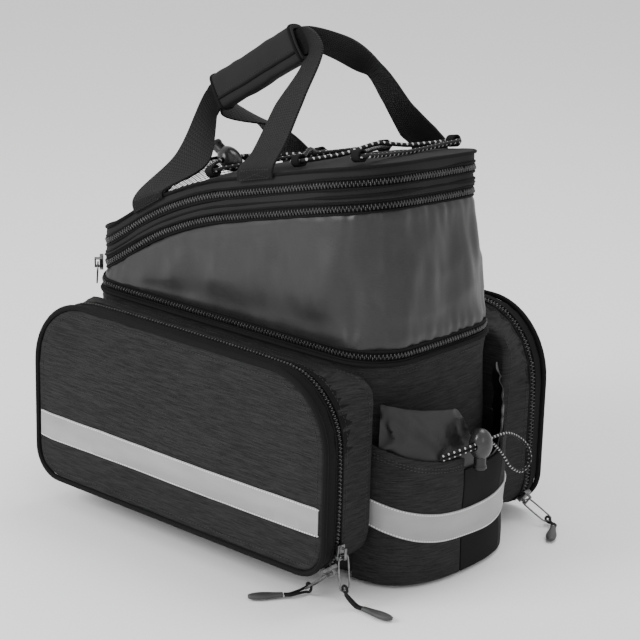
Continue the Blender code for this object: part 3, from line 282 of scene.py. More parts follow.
def plain_weave(name, dark, light, pitch, depth):
    cloth = Finish(name, 0.85, {"Specular IOR Level": 0.15})
    place = cloth.places()
    parted = cloth.node("ShaderNodeSeparateXYZ", {}, {0: place})
    across = Wire(cloth, parted.socket.node.outputs[1])
    upward = Wire(cloth, parted.socket.node.outputs[2])
    weave = ((parted + across).wave(pitch) * 0.5 + (upward * 1.0 - parted * 0.35).wave(pitch) * 0.5)
    fuzz = cloth.grain(place, 900.0, 3.0)
    dust = cloth.grain(place, 24.0)
    cloth.paint((weave * 0.35 + fuzz * 0.45 + dust * 0.20).clamp(), dark, light)
    cloth.gloss(0.78 + 0.14 * fuzz)
    cloth.relief(weave * 0.6 + fuzz * 0.4, 0.4, depth)
    return cloth


sleeve_nylon = satin_nylon("sleeve_nylon", 0.013, 0.024, 0.42)
# The collar's nylon gets a far darker colour than the sleeve's: painted shade for a collar that stands inside
# the pocket's hem.
shaded_collar_nylon = satin_nylon("shaded_collar_nylon", 0.0015, 0.007, 0.44)
lid_cloth = plain_weave("lid_cloth", 0.008, 0.026, 0.0011, 0.0002)
binding_cloth = plain_weave("binding_cloth", 0.0025, 0.008, 0.0009, 0.0002)
grip_cloth = plain_weave("grip_cloth", 0.010, 0.024, 0.0012, 0.0002)
gusset_cloth = plain_weave("gusset_cloth", 0.0035, 0.009, 0.0009, 0.00015)
print("finishes:", len(bpy.data.materials))

# %% [markdown]
# Straps are ribbed webbing: thick yarns run along the strap and a thin one crosses them.
# The ribs follow the strap, so the pattern reads the strap's own map, in metres.

# %% Webbing and elastic cord


def ribbed_webbing(name):
    web = Finish(name, 0.75, {"Specular IOR Level": 0.25})
    across, along = web.strip()
    ribs = across.wave(0.0026)
    picks = (along * 1.0 + ribs * 0.0007).wave(0.0017)
    fuzz = web.grain(web.places(), 1400.0, 2.0)
    web.paint((ribs * 0.15 + picks * 0.65 + fuzz * 0.20).clamp(), 0.0015, 0.017)
    web.gloss(0.62 + 0.2 * fuzz)
    web.relief(ribs * 0.25 + picks * 0.75, 0.9, 0.0008)
    return web


def flecked_elastic(name, around, fleck_pitch, share):
    """Black braid with white flecks that climb round it both ways."""
    cord = Finish(name, 0.7, {"Specular IOR Level": 0.3})
    across, along = cord.strip()
    turns = across * (fleck_pitch / around)
    right = (along + turns).wave(fleck_pitch)
    left = (along - turns).wave(fleck_pitch)
    braid = (along + across * 0.8).wave(0.0011) * (along - across * 0.8).wave(0.0011)
    fleck = (right * left) > share
    cord.paint(fleck, 0.004, 0.50)
    cord.relief(braid, 0.7, 0.0003)
    return cord


LACING_RADIUS = 0.0017
DRAWCORD_RADIUS = 0.0012
PULL_RADIUS = 0.00104
NO_FLECKS = 2.0
webbing = ribbed_webbing("strap_webbing")
bungee_braid = flecked_elastic("lid_elastic", 2 * math.pi * LACING_RADIUS, 0.0052, 0.60)
drawcord_braid = flecked_elastic("pocket_elastic", 2 * math.pi * DRAWCORD_RADIUS, 0.0042, 0.62)
black_braid = flecked_elastic("pull_braid", 2 * math.pi * PULL_RADIUS, 0.0030, NO_FLECKS)
print("finishes:", len(bpy.data.materials))

# %% [markdown]
# Reflective tape is grey cloth with a film of tiny glass beads. It looks pale and even, with a
# faint net of cells and a painted sheen in soft lighter streaks. Hard parts are moulded plastic, rubber and
# plated metal.

# %% Tape, plastic, rubber and metal


def bead_tape(name):
    tape = Finish(name, 0.38, {"Specular IOR Level": 0.6})
    place = tape.places()
    cells = tape.node("ShaderNodeTexVoronoi", {"feature": "DISTANCE_TO_EDGE"},
                      {"Vector": place, "Scale": 900.0})
    painted_sheen = tape.grain(tape.stretch(place, (14.0, 14.0, 60.0)), 1.0, 3.0)
    # Lighter streaks along the tape are a painted sheen in its colour; the roughness follows the same
    # streaks.
    tape.paint(tape.spread(painted_sheen, 0.25, 0.75), 0.26, 0.34)
    tape.gloss(0.34 + 0.12 * painted_sheen)
    tape.relief(tape.spread(cells, 0.0, 0.12), 0.25, 0.0001)
    return tape


def moulded(name, dark, light, roughness, depth):
    stuff = Finish(name, roughness, {"Specular IOR Level": 0.5})
    place = stuff.places()
    pebble = stuff.grain(place, 1800.0, 2.0)
    wear = stuff.grain(place, 130.0, 4.0, 0.6)
    stuff.paint(stuff.spread(wear, 0.3, 0.7), dark, light)
    stuff.gloss(roughness - 0.06 + 0.14 * wear)
    stuff.relief(pebble, 0.25, depth)
    return stuff


def plated(name):
    metal = Finish(name, 0.28, metallic=1.0)
    place = metal.places()
    wear = metal.grain(place, 260.0, 4.0, 0.65)
    metal.paint(metal.spread(wear, 0.3, 0.7), 0.10, 0.24)
    metal.gloss(0.20 + 0.22 * wear)
    metal.relief(wear, 0.1, 0.0001)
    return metal


reflective = bead_tape("reflective_tape_face")
lock_plastic = moulded("lock_plastic_face", 0.016, 0.028, 0.25, 0.00008)
foot_plastic = moulded("plunger_plastic_face", 0.004, 0.008, 0.40, 0.00008)
pull_rubber = moulded("pull_rubber_face", 0.030, 0.050, 0.55, 0.0001)
tooth_nylon = moulded("zip_tooth_nylon", 0.030, 0.062, 0.22, 0.00004)
thread_black = moulded("black_thread", 0.004, 0.010, 0.60, 0.00004)
thread_pale = moulded("pale_thread", 0.60, 0.80, 0.60, 0.00004)
thread_grey = moulded("grey_thread", 0.016, 0.032, 0.70, 0.00004)
zip_metal = plated("zip_metal_face")
print("finishes:", len(bpy.data.materials))

# %% [markdown]
# These are the bag's own sizes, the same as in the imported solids, in metres. Zips, piping and
# stitches are placed along the same lines that the solids were drawn on.

# %% The bag's own sizes
BODY_TOP = 0.171
BODY_HALF_LENGTH = 0.152
BODY_HALF = 0.078
BODY_RADII = (0.030, 0.040)
SLEEVE_BASE_Z = 0.1791
LID_FRONT_X = -0.155
LID_REAR_X = 0.138
LID_MIDDLE_X = (LID_FRONT_X + LID_REAR_X) / 2
LID_HALF = 0.073
LID_RADII = (0.032, 0.040)
LID_FRONT_Z = 0.1826
LID_RISE = 0.100
LID_LEAN = 0.008
LID_TOP_RISE = 0.0339
LID_DOME = 0.006
LID_LINE = ((0, 0), (0.06, 0.04), (0.13, 0.15), (0.21, 0.30), (0.29, 0.43), (0.43, 0.60), (0.57, 0.71),
            (0.71, 0.81), (0.85, 0.91), (1, 1))
POUCH_LENGTH = 0.306
POUCH_TOP_Z = 0.1735
POUCH_FLOOR_Z = 0.0235
FAR_STRETCH = 1.10
POUCH_TOP_RADIUS = 0.055
POUCH_BOTTOM_RADIUS = 0.024
POUCH_TAPE_Z = 0.068
POUCH_BACK_Y = 0.0783
POCKET_START_X = 0.132
POCKET_REACH = 0.050
POCKET_HALF = BODY_HALF - BODY_RADII[1] * (1 - math.cos(math.radians(30))) + 0.0007
POCKET_ROUNDNESS = 2.6
POCKET_HEM_Z = 0.113
POCKET_TAPE_Z = 0.061
POCKET_SAG = 0.014
POCKET_LEAN = 0.010
TAPE_SEAM = 0.0100
WELD = 0.00002
CUT_REACH = 0.00005
STRAP_WIDTH = 0.036
STRAP_THICKNESS = 0.002


def smooth_table(table, share):
    """Reads a two-column table with a smooth curve through its rows."""
    share = min(max(share, table[0][0]), table[-1][0])
    row = max(k for k in range(len(table) - 1) if k == 0 or share > table[k][0])

    def slope(index):
        low, high = max(index - 1, 0), min(index + 1, len(table) - 1)
        return (table[high][1] - table[low][1]) / (table[high][0] - table[low][0])

    span = table[row + 1][0] - table[row][0]
    t = (share - table[row][0]) / span
    return ((2 * t ** 3 - 3 * t ** 2 + 1) * table[row][1] + (t ** 3 - 2 * t ** 2 + t) * span * slope(row)
            + (3 * t ** 2 - 2 * t ** 3) * table[row + 1][1] + (t ** 3 - t ** 2) * span * slope(row + 1))


def lid_line(x, y=-LID_HALF):
    """Height of the lid's lower edge."""
    share = smooth_table(LID_LINE, (x - LID_FRONT_X) / (LID_REAR_X - LID_FRONT_X))
    return LID_FRONT_Z + LID_RISE * share - LID_LEAN * share * (1 + y / LID_HALF) / 2


def crown_z(x, y):
    """Height of the lid's domed top."""
    half_length = (LID_REAR_X - LID_FRONT_X) / 2
    side_share = 1 - abs(y) / LID_HALF
    end_share = (1 - abs(x - LID_MIDDLE_X) / half_length) * half_length / LID_HALF
    share = min(max(min(side_share, end_share), 0.0), 1.0)
    return lid_line(x, y) + LID_TOP_RISE + LID_DOME * (1 - (1 - share) ** 2)


print("lid rises from", round(lid_line(LID_FRONT_X), 4), "to", round(lid_line(LID_REAR_X), 4))

# %% [markdown]
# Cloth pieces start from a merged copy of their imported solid, so they sit exactly where it sits.
# The edges where two walls meet get a crease, then a subdivision surface rounds the rest.

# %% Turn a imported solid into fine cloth


def merged_copy(node):
    """The solid's own shape as one welded mesh, with its triangles paired back into four-sided faces."""
    shape = bmesh.new()
    shape.from_mesh(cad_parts[node].data)
    bmesh.ops.remove_doubles(shape, verts=shape.verts[:], dist=WELD)
    bmesh.ops.join_triangles(shape, faces=shape.faces[:], angle_face_threshold=math.radians(25),
                             angle_shape_threshold=math.radians(60))
    return shape


def refined(shape, levels, crease_over=50, crease=0.75):
    """Creases the edges that turn sharply, then subdivides, and gives back a plain mesh."""
    firm = shape.edges.layers.float.get("crease_edge") or shape.edges.layers.float.new("crease_edge")
    for edge in shape.edges:
        if edge.is_manifold and edge.calc_face_angle() > math.radians(crease_over):
            edge[firm] = crease
    draft = bpy.data.meshes.new("draft")
    shape.to_mesh(draft)
    shape.free()
    holder = bpy.data.objects.new("draft", draft)
    bpy.context.scene.collection.objects.link(holder)
    smoother = holder.modifiers.new("round", "SUBSURF")
    smoother.levels = levels
    smoother.render_levels = levels
    ready = bpy.data.meshes.new_from_object(holder.evaluated_get(bpy.context.evaluated_depsgraph_get()))
    bpy.data.objects.remove(holder)
    bpy.data.meshes.remove(draft)
    return ready


def sliced(shape, place, facing, trim=False):
    """Cuts a shape through with a plane, and takes away what the plane faces if it is trimmed."""
    bmesh.ops.bisect_plane(shape, geom=shape.verts[:] + shape.edges[:] + shape.faces[:], dist=CUT_REACH,
                           plane_co=place, plane_no=facing, clear_outer=trim)


def soft_edges(piece, width):
    """Rounds a piece's sharp edges a little."""
    edge = piece.modifiers.new("soft_edge", "BEVEL")
    edge.width = width
    edge.segments = 2
    edge.limit_method = "ANGLE"


def folded(mesh, rule):
    """Moves every point by rule(place, direction it faces)."""
    facing = [corner.vector.copy() for corner in mesh.vertex_normals]
    for point, way in zip(mesh.vertices, facing):
        point.co = point.co + rule(point.co.copy(), way)
    return mesh


def hand_in(name, mesh, finish, stands_for=(), slot="dark_cloth", body=BAG, sharp=40):
    """Names the piece, shades it and gives it its finish and its place on the bag. The slot argument is not
    used.
    """
    if isinstance(mesh, bmesh.types.BMesh):
        shape = mesh
        mesh = bpy.data.meshes.new(name)
        shape.to_mesh(mesh)
        shape.free()
    if "custom_normal" in mesh.attributes:
        mesh.attributes.remove(mesh.attributes["custom_normal"])
    mesh.name = name
    mesh.materials.clear()
    mesh.materials.append(finish.material)
    mesh.polygons.foreach_set("material_index", [0] * len(mesh.polygons))
    mesh.shade_smooth()
    mesh.set_sharp_from_angle(angle=math.radians(sharp))
    piece = bpy.data.objects.new(name, mesh)
    bpy.context.scene.collection.objects.link(piece)
    if stands_for:
        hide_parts(*stands_for)
    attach(piece, body)
    mesh.calc_loop_triangles()
    print(name, len(mesh.loop_triangles), "triangles")
    return piece


print("cloth helpers ready")

# %% [markdown]
# Cloth never lies quite flat. Each rule below pushes a wall in and out by a millimetre or two.
# Both faces of a wall must move the same way, so the push is always away from the bag's middle.

# %% Ways for cloth to fold


def ripple(place, scale, seed=0.0):
    return noise.noise(Vector((place.x * scale[0] + seed, place.y * scale[1] - seed,
                               place.z * scale[2] + seed)))


def ease(value, low, high):
    t = min(max((value - low) / (high - low), 0.0), 1.0)
    return t * t * (3 - 2 * t)


def outward(place, way, reach_x=0.10, reach_y=0.03):
    """The level direction that a wall faces, turned away from the bag's middle."""
    level = Vector((way.x, way.y, 0.0))
    from_middle = Vector((place.x - min(max(place.x, -reach_x), reach_x),
                          place.y - min(max(place.y, -reach_y), reach_y), 0.0))
    return level if level.dot(from_middle) > 0 else -level


BODY_SAG = 0.0022
BODY_WAVE = 0.0007
BODY_BASE_HOLD = (0.002, 0.030)
BODY_TOP_HOLD = (0.018, 0.002)
LID_CRINKLE = 0.0005
LID_WAVE = 0.0009
PUCKER_DEPTH = 0.0019
BROAD_FOLD_DEPTH = 0.0048
SMALL_FOLD_DEPTH = 0.0020
SLACK_DEPTH = 0.0022
PUCKER_REACH = (0.011, 0.012)
FULL_SLEEVE = 0.09
LID_RIM_RISE = 0.030


def sleeve_folds(place, way):
    """Puckers where the nylon is gathered into each zip, with broad soft folds between them."""
    top = lid_line(place.x, place.y)
    height = max(top - SLEEVE_BASE_Z, 0.004)
    share = (place.z - SLEEVE_BASE_Z) / height
    room = min(height / FULL_SLEEVE, 1.0)
    from_zips = (max(share, 0.0) * height, max(1 - share, 0.0) * height)
    near_zip = sum(math.exp(-distance / reach) for distance, reach in zip(from_zips, PUCKER_REACH))
    middle = math.sin(math.pi * min(max(share, 0.0), 1.0))
    pucker = ripple(place, (150, 150, 16), 3.0) * PUCKER_DEPTH * near_zip
    fold = (ripple(place, (34, 34, 12), 9.0) * BROAD_FOLD_DEPTH
            + ripple(place, (75, 75, 26), 5.0) * SMALL_FOLD_DEPTH)
    slack = abs(ripple(place, (22, 22, 34), 21.0)) * -SLACK_DEPTH
    return outward(place, way) * (pucker * (0.3 + 0.7 * room) + (fold + slack) * middle * room)


def body_folds(place, way):
    """Broad sags between the flat base and the stitched rim, which both stay where they are."""
    sag = ripple(place, (13, 13, 17), 2.0) * BODY_SAG + ripple(place, (38, 38, 44), 6.0) * BODY_WAVE
    rim = ease(place.z, BODY_TOP - BODY_TOP_HOLD[0], BODY_TOP - BODY_TOP_HOLD[1])
    return outward(place, way) * sag * (ease(place.z, *BODY_BASE_HOLD) * (1 - rim))


def lid_folds(place, way):
    crease = ripple(place, (60, 60, 60), 4.0) * LID_CRINKLE + ripple(place, (24, 24, 24), 14.0) * LID_WAVE
    above_rim = place.z > lid_line(place.x, place.y) + LID_RIM_RISE
    if above_rim and abs(way.z) > 0.5:
        return Vector((0, 0, crease))
    return outward(place, way, 0.10, 0.05) * crease


print("fold rules ready")

# %% [markdown]
# The lower body is a box of stiffened cloth on a flat base. The sleeve above it is the part that
# folds away when the zip under it is closed. Here it stands up, with the lid zipped on top of it.

# %% Body, sleeve and lid cloth
for name, node, levels, rule, finish, slot in (
        ("body_cloth", "body_shell", 2, body_folds, heather, "heathered_polyester"),
        ("sleeve_cloth", "expansion_sleeve", 3, sleeve_folds, sleeve_nylon, "charcoal_nylon"),
        ("lid_band_cloth", "lid_band", 2, lid_folds, lid_cloth, "dark_cloth"),
        ("lid_crown_cloth", "lid_top", 2, lid_folds, lid_cloth, "dark_cloth")):
    hand_in(name, folded(refined(merged_copy(node), levels), rule), finish, [node], slot)

# %% [markdown]
# Each side pouch is a shallow box of stiffened cloth: a flat front face, a zip round its side and a
# squarer back that is sewn to the body. The face swells a little and dents near its corners.

# %% Pouch cloth
NEAR, FAR = -1, 1
SIDES = (("near", NEAR), ("far", FAR))
FACE_EDGE_Y = 0.130
BACK_EDGE_Y = 0.1075
FACE_START_Y = 0.125
FACE_SWELL = 0.0016
FACE_WAVE = 0.0022
FACE_CRINKLE = 0.0005
BACK_SOFT_FROM = (POUCH_BACK_Y + 0.004, 0.090)
BACK_SOFT_TO = (0.100, 0.110)
BACK_WAVE = 0.0020
BACK_SINK = 0.0010


def hung(side, z):
    """The far pouch hangs a little longer than the near one, from the same top."""
    return POUCH_TOP_Z - (POUCH_TOP_Z - z) * FAR_STRETCH if side == FAR else z


def pouch_line(side, inset, y=0.0):
    """Points and outward directions round a pouch at one depth, from the middle of its floor by the rear."""
    half = POUCH_LENGTH / 2 - inset
    low, high = POUCH_FLOOR_Z + inset, POUCH_TOP_Z - inset
    top, bottom = POUCH_TOP_RADIUS - inset, POUCH_BOTTOM_RADIUS - inset
    corners = ((half - bottom, low + bottom, bottom, -90), (half - top, high - top, top, 0),
               (top - half, high - top, top, 90), (bottom - half, low + bottom, bottom, 180))
    line = [(0.0, low, 0.0, -1.0)]
    for cx, cz, radius, start in corners:
        for k in range(13):
            angle = math.radians(start + 90 * k / 12)
            line.append((cx + radius * math.cos(angle), cz + radius * math.sin(angle), math.cos(angle),
                         math.sin(angle)))
    line.append((0.0, low, 0.0, -1.0))
    return [(Vector((x, y, hung(side, z))), Vector((nx, 0.0, nz))) for x, z, nx, nz in line]


def pouch_swell(side, place):
    """How far the pouch's face stands proud at a point: most in the middle, nothing at its piping."""
    low = hung(side, POUCH_FLOOR_Z)
    in_x = 1 - abs(place.x) / (POUCH_LENGTH / 2)
    in_z = min(place.z - low, POUCH_TOP_Z - place.z) / (POUCH_TOP_Z - low) * 2
    free = ease(min(in_x * 3.0, in_z), 0.03, 0.45)
    broad = FACE_SWELL + ripple(place, (11, 11, 15), 7.0 + side) * FACE_WAVE
    crinkle = ripple(place, (42, 42, 48), 3.0 + side) * FACE_CRINKLE
    return free * broad + ease(min(in_x, in_z), 0.0, 0.12) * crinkle


def face_folds(side):
    def rule(place, way):
        share = max(abs(way.y) - 0.3, 0.0) / 0.7 if abs(place.y) > FACE_START_Y else 0.0
        return Vector((0, side * share * pouch_swell(side, place), 0))
    return rule


def back_folds(side):
    """The gusset behind the zip is soft, so it sinks and waves between its two seams."""
    middle_z = (POUCH_TOP_Z + hung(side, POUCH_FLOOR_Z)) / 2

    def rule(place, way):
        around = Vector((way.x, 0.0, way.z))
        if around.dot(Vector((place.x, 0.0, (place.z - middle_z) * 2))) < 0:
            around = -around
        room = ease(abs(place.y), *BACK_SOFT_FROM) * (1 - ease(abs(place.y), *BACK_SOFT_TO))
        return around * (ripple(place, (30, 60, 30), 12.0 + side) * BACK_WAVE - BACK_SINK) * room
    return rule


def gridded(shape, pitch, axes=(0, 2)):
    """Cuts a shape into squares, so that its broad flat walls can fold too."""
    for axis in axes:
        places = [vert.co[axis] for vert in shape.verts]
        lines = int((max(places) - min(places)) / pitch)
        for k in range(1, lines):
            where = Vector((0, 0, 0))
            where[axis] = min(places) + (max(places) - min(places)) * k / lines
            facing = Vector((0, 0, 0))
            facing[axis] = 1.0
            sliced(shape, where, facing)
    return shape


def edged(piece, belongs):
    """Gives the faces that belong to the zip's wide tape its plain dark cloth."""
    piece.data.materials.append(binding_cloth.material)
    for face in piece.data.polygons:
        if belongs(face.center, face.normal):
            face.material_index = 1


for word, side in SIDES:
    face = folded(refined(gridded(merged_copy(word + "_pouch_face"), 0.009), 1, 60), face_folds(side))
    face = hand_in(word + "_pouch_face_cloth", face, heather, [word + "_pouch_face"], "heathered_polyester")
    edged(face, lambda centre, way: abs(way.y) < 0.6 and abs(centre.y) < FACE_EDGE_Y)
    back = folded(refined(gridded(merged_copy(word + "_pouch_back"), 0.010), 1, 60), back_folds(side))
    back = hand_in(word + "_pouch_back_cloth", back, heather, [word + "_pouch_back"], "heathered_polyester")
    edged(back, lambda centre, way: abs(centre.y) > BACK_EDGE_Y)
    under = refined(merged_copy(word + "_pouch_floor"), 2, 40)
    hand_in(word + "_pouch_floor_cloth", under, lid_cloth, [word + "_pouch_floor"], "dark_cloth")
    strip = gridded(merged_copy(word + "_pouch_reflector"), 0.006, (0,))
    strip = folded(refined(strip, 1, 60, 0.9),
                   lambda place, way: Vector((0, side * pouch_swell(side, place), 0)))
    hand_in(word + "_pouch_tape", strip, reflective, [word + "_pouch_reflector"], "reflective_tape")

# %% [markdown]
# The rear pocket bows out from the body. Two heathered panels and a smooth wedge between them hang
# from an open hem, and a thin nylon collar stands inside it.

# %% Pocket cloth


PANEL_DEPTH = 0.0022
CREASE_DEPTH = 0.0034
COLLAR_WAVE = 0.0020


def from_pocket(place):
    """The level direction out of the pocket's bowed wall."""
    return Vector((place.x - POCKET_START_X, place.y * 0.6, 0.0)).normalized()


def pocket_folds(place, way):
    hold = ease(place.z, 0.004, 0.030) * (1 - ease(place.z, 0.070, 0.098))
    return from_pocket(place) * ripple(place, (26, 26, 30), 4.0) * PANEL_DEPTH * hold


def collar_folds(place, way):
    hold = ease(place.z, 0.092, 0.112)
    slant = Vector((place.x, place.y + place.z * 0.7, place.z - place.y * 0.5))
    crease_bump_and_shade = abs(ripple(slant, (95, 95, 38), 8.0)) * CREASE_DEPTH
    return from_pocket(place) * (ripple(slant, (60, 60, 30), 2.0) * COLLAR_WAVE - crease_bump_and_shade) * hold


for node, finish, slot in (("pocket_left_panel", heather, "heathered_polyester"),
                           ("pocket_right_panel", heather, "heathered_polyester"),
                           ("pocket_gusset", gusset_cloth, "dark_cloth"),
                           ("pocket_reflector", reflective, "reflective_tape")):
    wall = folded(refined(gridded(merged_copy(node), 0.008, (2,)), 2, 60, 0.8), pocket_folds)
    hand_in(node + "_cloth", wall, finish, [node], slot)

collar = folded(refined(gridded(merged_copy("pocket_collar"), 0.006, (2,)), 2, 60, 0.8), collar_folds)
hand_in("pocket_collar_cloth", collar, shaded_collar_nylon, ["pocket_collar"], "charcoal_nylon")
base = refined(merged_copy("pocket_base"), 1, 30, 0.9)
hand_in("pocket_base_cloth", base, lid_cloth, ["pocket_base"], "dark_cloth")

# %% [markdown]
# Small things that repeat, such as teeth and stitches, are beads set at a steady pitch along a line.
# Each bead is pressed onto the cloth that it belongs to by looking straight at that cloth.

# %% Steady steps and beads


def even_steps(line, pitch):
    """(place, outward, direction) at a steady pitch along a line of (point, outward) pairs."""
    steps = []
    walked, target = 0.0, pitch / 2
    for (start, first), (end, second) in zip(line, line[1:]):
        length = (end - start).length
        while length > 0 and target <= walked + length:
            share = (target - walked) / length
            steps.append((start.lerp(end, share), first.lerp(second, share).normalized(),
                          (end - start) / length))
            target += pitch
        walked += length
    return steps


def surface_of(*names):
    shape = bmesh.new()
    for name in names:
        shape.from_mesh(bpy.data.objects[name].data)
    tree = BVHTree.FromBMesh(shape)
    shape.free()
    return tree


def pressed_on(tree, steps, lift, reach=0.012):
    """Moves each step onto the surface below it, and turns it to face away from that surface."""
    seated = []
    for place, out, along in steps:
        hit, facing, _, _ = tree.ray_cast(place + out * reach, -out, 2 * reach)
        if hit is not None:
            facing = facing if facing.dot(out) > 0 else -facing
            flat = (along - facing * along.dot(facing)).normalized()
            seated.append((hit + facing * lift, facing, flat))
    return seated


BATCH = 24


def bead_row(name, steps, size, finish, slot):
    """One bead at each step; size is half its length along the line, across it and out of the cloth."""
    shape = bmesh.new()
    batch = bpy.data.meshes.new("batch")
    for first in range(0, len(steps), BATCH):
        few = bmesh.new()
        for place, facing, along in steps[first:first + BATCH]:
            side = facing.cross(along)
            turn = Matrix((along * size[0], side * size[1], facing * size[2])).transposed().to_4x4()
            bmesh.ops.create_uvsphere(few, u_segments=6, v_segments=4, radius=1.0,
                                      matrix=Matrix.Translation(place) @ turn)
        few.to_mesh(batch)
        few.free()
        shape.from_mesh(batch)
    bpy.data.meshes.remove(batch)
    return hand_in(name, shape, finish, (), slot, sharp=80)


def stitch_rows(name, tree, lines, pitch, size, thread, slot, lift=0.0001, reach=0.012):
    """Stitches at a steady pitch along several lines that lie close to one cloth."""
    steps = []
    for line in lines:
        steps += pressed_on(tree, even_steps(line, pitch), lift, reach)
    return bead_row(name, steps, size, thread, slot)


TOOTH_PITCH = 0.0015
TOOTH_SIZE = (0.00050, 0.00185, 0.00115)
TOOTH_SWAY = 0.0008
print("coil teeth in each 10 cm of zip:", round(0.1 / TOOTH_PITCH))

# %% [markdown]
# A coil zip is a tape with a spiral of nylon sewn along each edge. The two spirals lock into each
# other, so from outside the closed zip shows a close row of glinting cross bars.

# %% Lid and body zips


PLAN_PITCH = 0.006
ZIP_HALF = 0.00375
LID_UPPER_ZIP_RISE = 0.0181
BODY_ZIP_BASE = 0.1713


def plan_line(front, rear, half, radii, height):
    """Points and outward directions round a level plan, with height(x, y) at each."""
    front_radius, rear_radius = radii
    corners = ((rear - rear_radius, half - rear_radius, rear_radius, 0),
               (front + front_radius, half - front_radius, front_radius, 90),
               (front + front_radius, front_radius - half, front_radius, 180),
               (rear - rear_radius, rear_radius - half, rear_radius, 270))
    line = []
    for cx, cy, radius, start in corners:
        for k in range(15):
            angle = math.radians(start + 90 * k / 14)
            out = Vector((math.cos(angle), math.sin(angle), 0.0))
            line.append((Vector((cx, cy, 0.0)) + out * radius, out))
    line.append(line[0])
    dense = []
    for (start, first), (end, second) in zip(line, line[1:]):
        parts = max(int((end - start).length / PLAN_PITCH), 1)
        dense += [(start.lerp(end, k / parts), first.lerp(second, k / parts)) for k in range(parts)]
    dense.append(line[0])
    return [(Vector((place.x, place.y, height(place.x, place.y))), out) for place, out in dense]


def lid_ring_line(rise):
    return plan_line(LID_FRONT_X, LID_REAR_X, LID_HALF, LID_RADII, lambda x, y: lid_line(x, y) + rise)


def body_ring_line(z):
    return plan_line(-BODY_HALF_LENGTH, BODY_HALF_LENGTH, BODY_HALF, BODY_RADII, lambda x, y: z)


def sew_zip(node, line):
    """A zip's tape, and teeth along a line that each reach over to the other side, turn and turn about."""
    tape = refined(merged_copy(node), 1, 30, 0.9)
    hand_in(node + "_tape", tape, binding_cloth, [node], "zip_tape")
    steps = pressed_on(surface_of(node + "_tape"), even_steps(line, TOOTH_PITCH), 0.0)
    teeth = [(place + facing.cross(along) * (TOOTH_SWAY if k % 2 else -TOOTH_SWAY), facing, along)
             for k, (place, facing, along) in enumerate(steps)]
    bead_row(node + "_teeth", teeth, TOOTH_SIZE, tooth_nylon, "zip_tape")


sew_zip("lid_lower_zip", lid_ring_line(ZIP_HALF))
sew_zip("lid_upper_zip", lid_ring_line(LID_UPPER_ZIP_RISE + ZIP_HALF))
sew_zip("body_zip", body_ring_line(BODY_ZIP_BASE + ZIP_HALF))
for word, side in SIDES:
    node = word + "_pouch_zip"
    sew_zip(node, pouch_line(side, 0.0, sum(corner.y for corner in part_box(node)) / 2))

# %% [markdown]
# The carry handle is two webbing straps. Each rises from one side of the lid, bunches inside the
# padded grip and falls to the same side. A strap is a flat grid laid along a smooth line, so the
# ribs of its weave can follow it.

# %% Webbing straps
NEAR_STRAP = (
    ((-0.0860, -0.0743, 0.2477), (-0.86, 0, -0.50), 1.00),
    ((-0.0860, -0.0743, 0.2557), (-0.93, 0, -0.38), 1.00),
    ((-0.0646, -0.0485, 0.2845), (-1, 0, 0.10), 0.90),
    ((-0.0780, -0.0128, 0.3219), (-0.51, 0, 0.86), 0.62),
    ((-0.0720, -0.0116, 0.3305), (-0.51, 0, 0.86), 0.55),
    ((-0.0295, -0.0116, 0.3560), (-0.51, 0, 0.86), 0.55),
    ((0.0130, -0.0116, 0.3815), (-0.51, 0, 0.86), 0.55),
    ((0.0181, -0.0116, 0.3846), (-0.51, 0, 0.86), 0.55),
    ((0.0319, -0.0191, 0.3750), (0.80, 0, 0.60), 0.65),
    ((0.0295, -0.0417, 0.3413), (0.96, 0, 0.29), 0.80),
    ((0.0277, -0.0618, 0.3095), (0.94, 0, 0.33), 0.95),
    ((0.0270, -0.0743, 0.2960), (0.98, 0, 0.21), 1.00),
    ((0.0270, -0.0743, 0.2880), (0.97, 0, 0.24), 1.00),
)
FAR_STRAP = (
    ((-0.0620, 0.0743, 0.2563), (-0.91, 0, -0.41), 1.00),
    ((-0.0620, 0.0743, 0.2643), (-0.95, 0, -0.30), 1.00),
    ((-0.0668, 0.0395, 0.3004), (-1, 0, 0.10), 0.90),
    ((-0.0780, -0.0072, 0.3219), (-0.51, 0, 0.86), 0.62),
    ((-0.0720, -0.0084, 0.3305), (-0.51, 0, 0.86), 0.55),
    ((-0.0295, -0.0084, 0.3560), (-0.51, 0, 0.86), 0.55),
    ((0.0130, -0.0084, 0.3815), (-0.51, 0, 0.86), 0.55),
    ((0.0181, -0.0084, 0.3846), (-0.51, 0, 0.86), 0.55),
    ((0.0378, 0.0081, 0.3770), (-0.10, -0.10, 0.99), 0.65),
    ((0.0519, 0.0280, 0.3618), (0.78, -0.44, 0.44), 0.80),
    ((0.0584, 0.0495, 0.3342), (0.98, -0.20, 0.10), 0.95),
    ((0.0673, 0.0652, 0.3109), (0.96, 0, 0.29), 1.00),
    ((0.0720, 0.0743, 0.3002), (0.98, 0, 0.22), 1.00),
    ((0.0720, 0.0743, 0.2922), (0.97, 0, 0.24), 1.00),
)


def curve_point(points, t):
    """A point on the smooth line through the points, t from 0 to the last index."""
    index = min(int(t), len(points) - 2)
    start, end = points[index], points[index + 1]
    before = points[index - 1] if index > 0 else 2 * start - end
    after = points[index + 2] if index + 2 < len(points) else 2 * end - start
    row = (before, start, end, after)
    knots = [0.0]
    for here, following in zip(row, row[1:]):
        knots.append(knots[-1] + max((following - here).length, 1e-5) ** 0.5)
    place = knots[1] + (knots[2] - knots[1]) * (t - index)

    def between(low, high, low_knot, high_knot):
        return low + (high - low) * ((place - low_knot) / (high_knot - low_knot))

    first = [between(row[k], row[k + 1], knots[k], knots[k + 1]) for k in range(3)]
    second = [between(first[k], first[k + 1], knots[k], knots[k + 2]) for k in range(2)]
    return between(second[0], second[1], knots[1], knots[2])


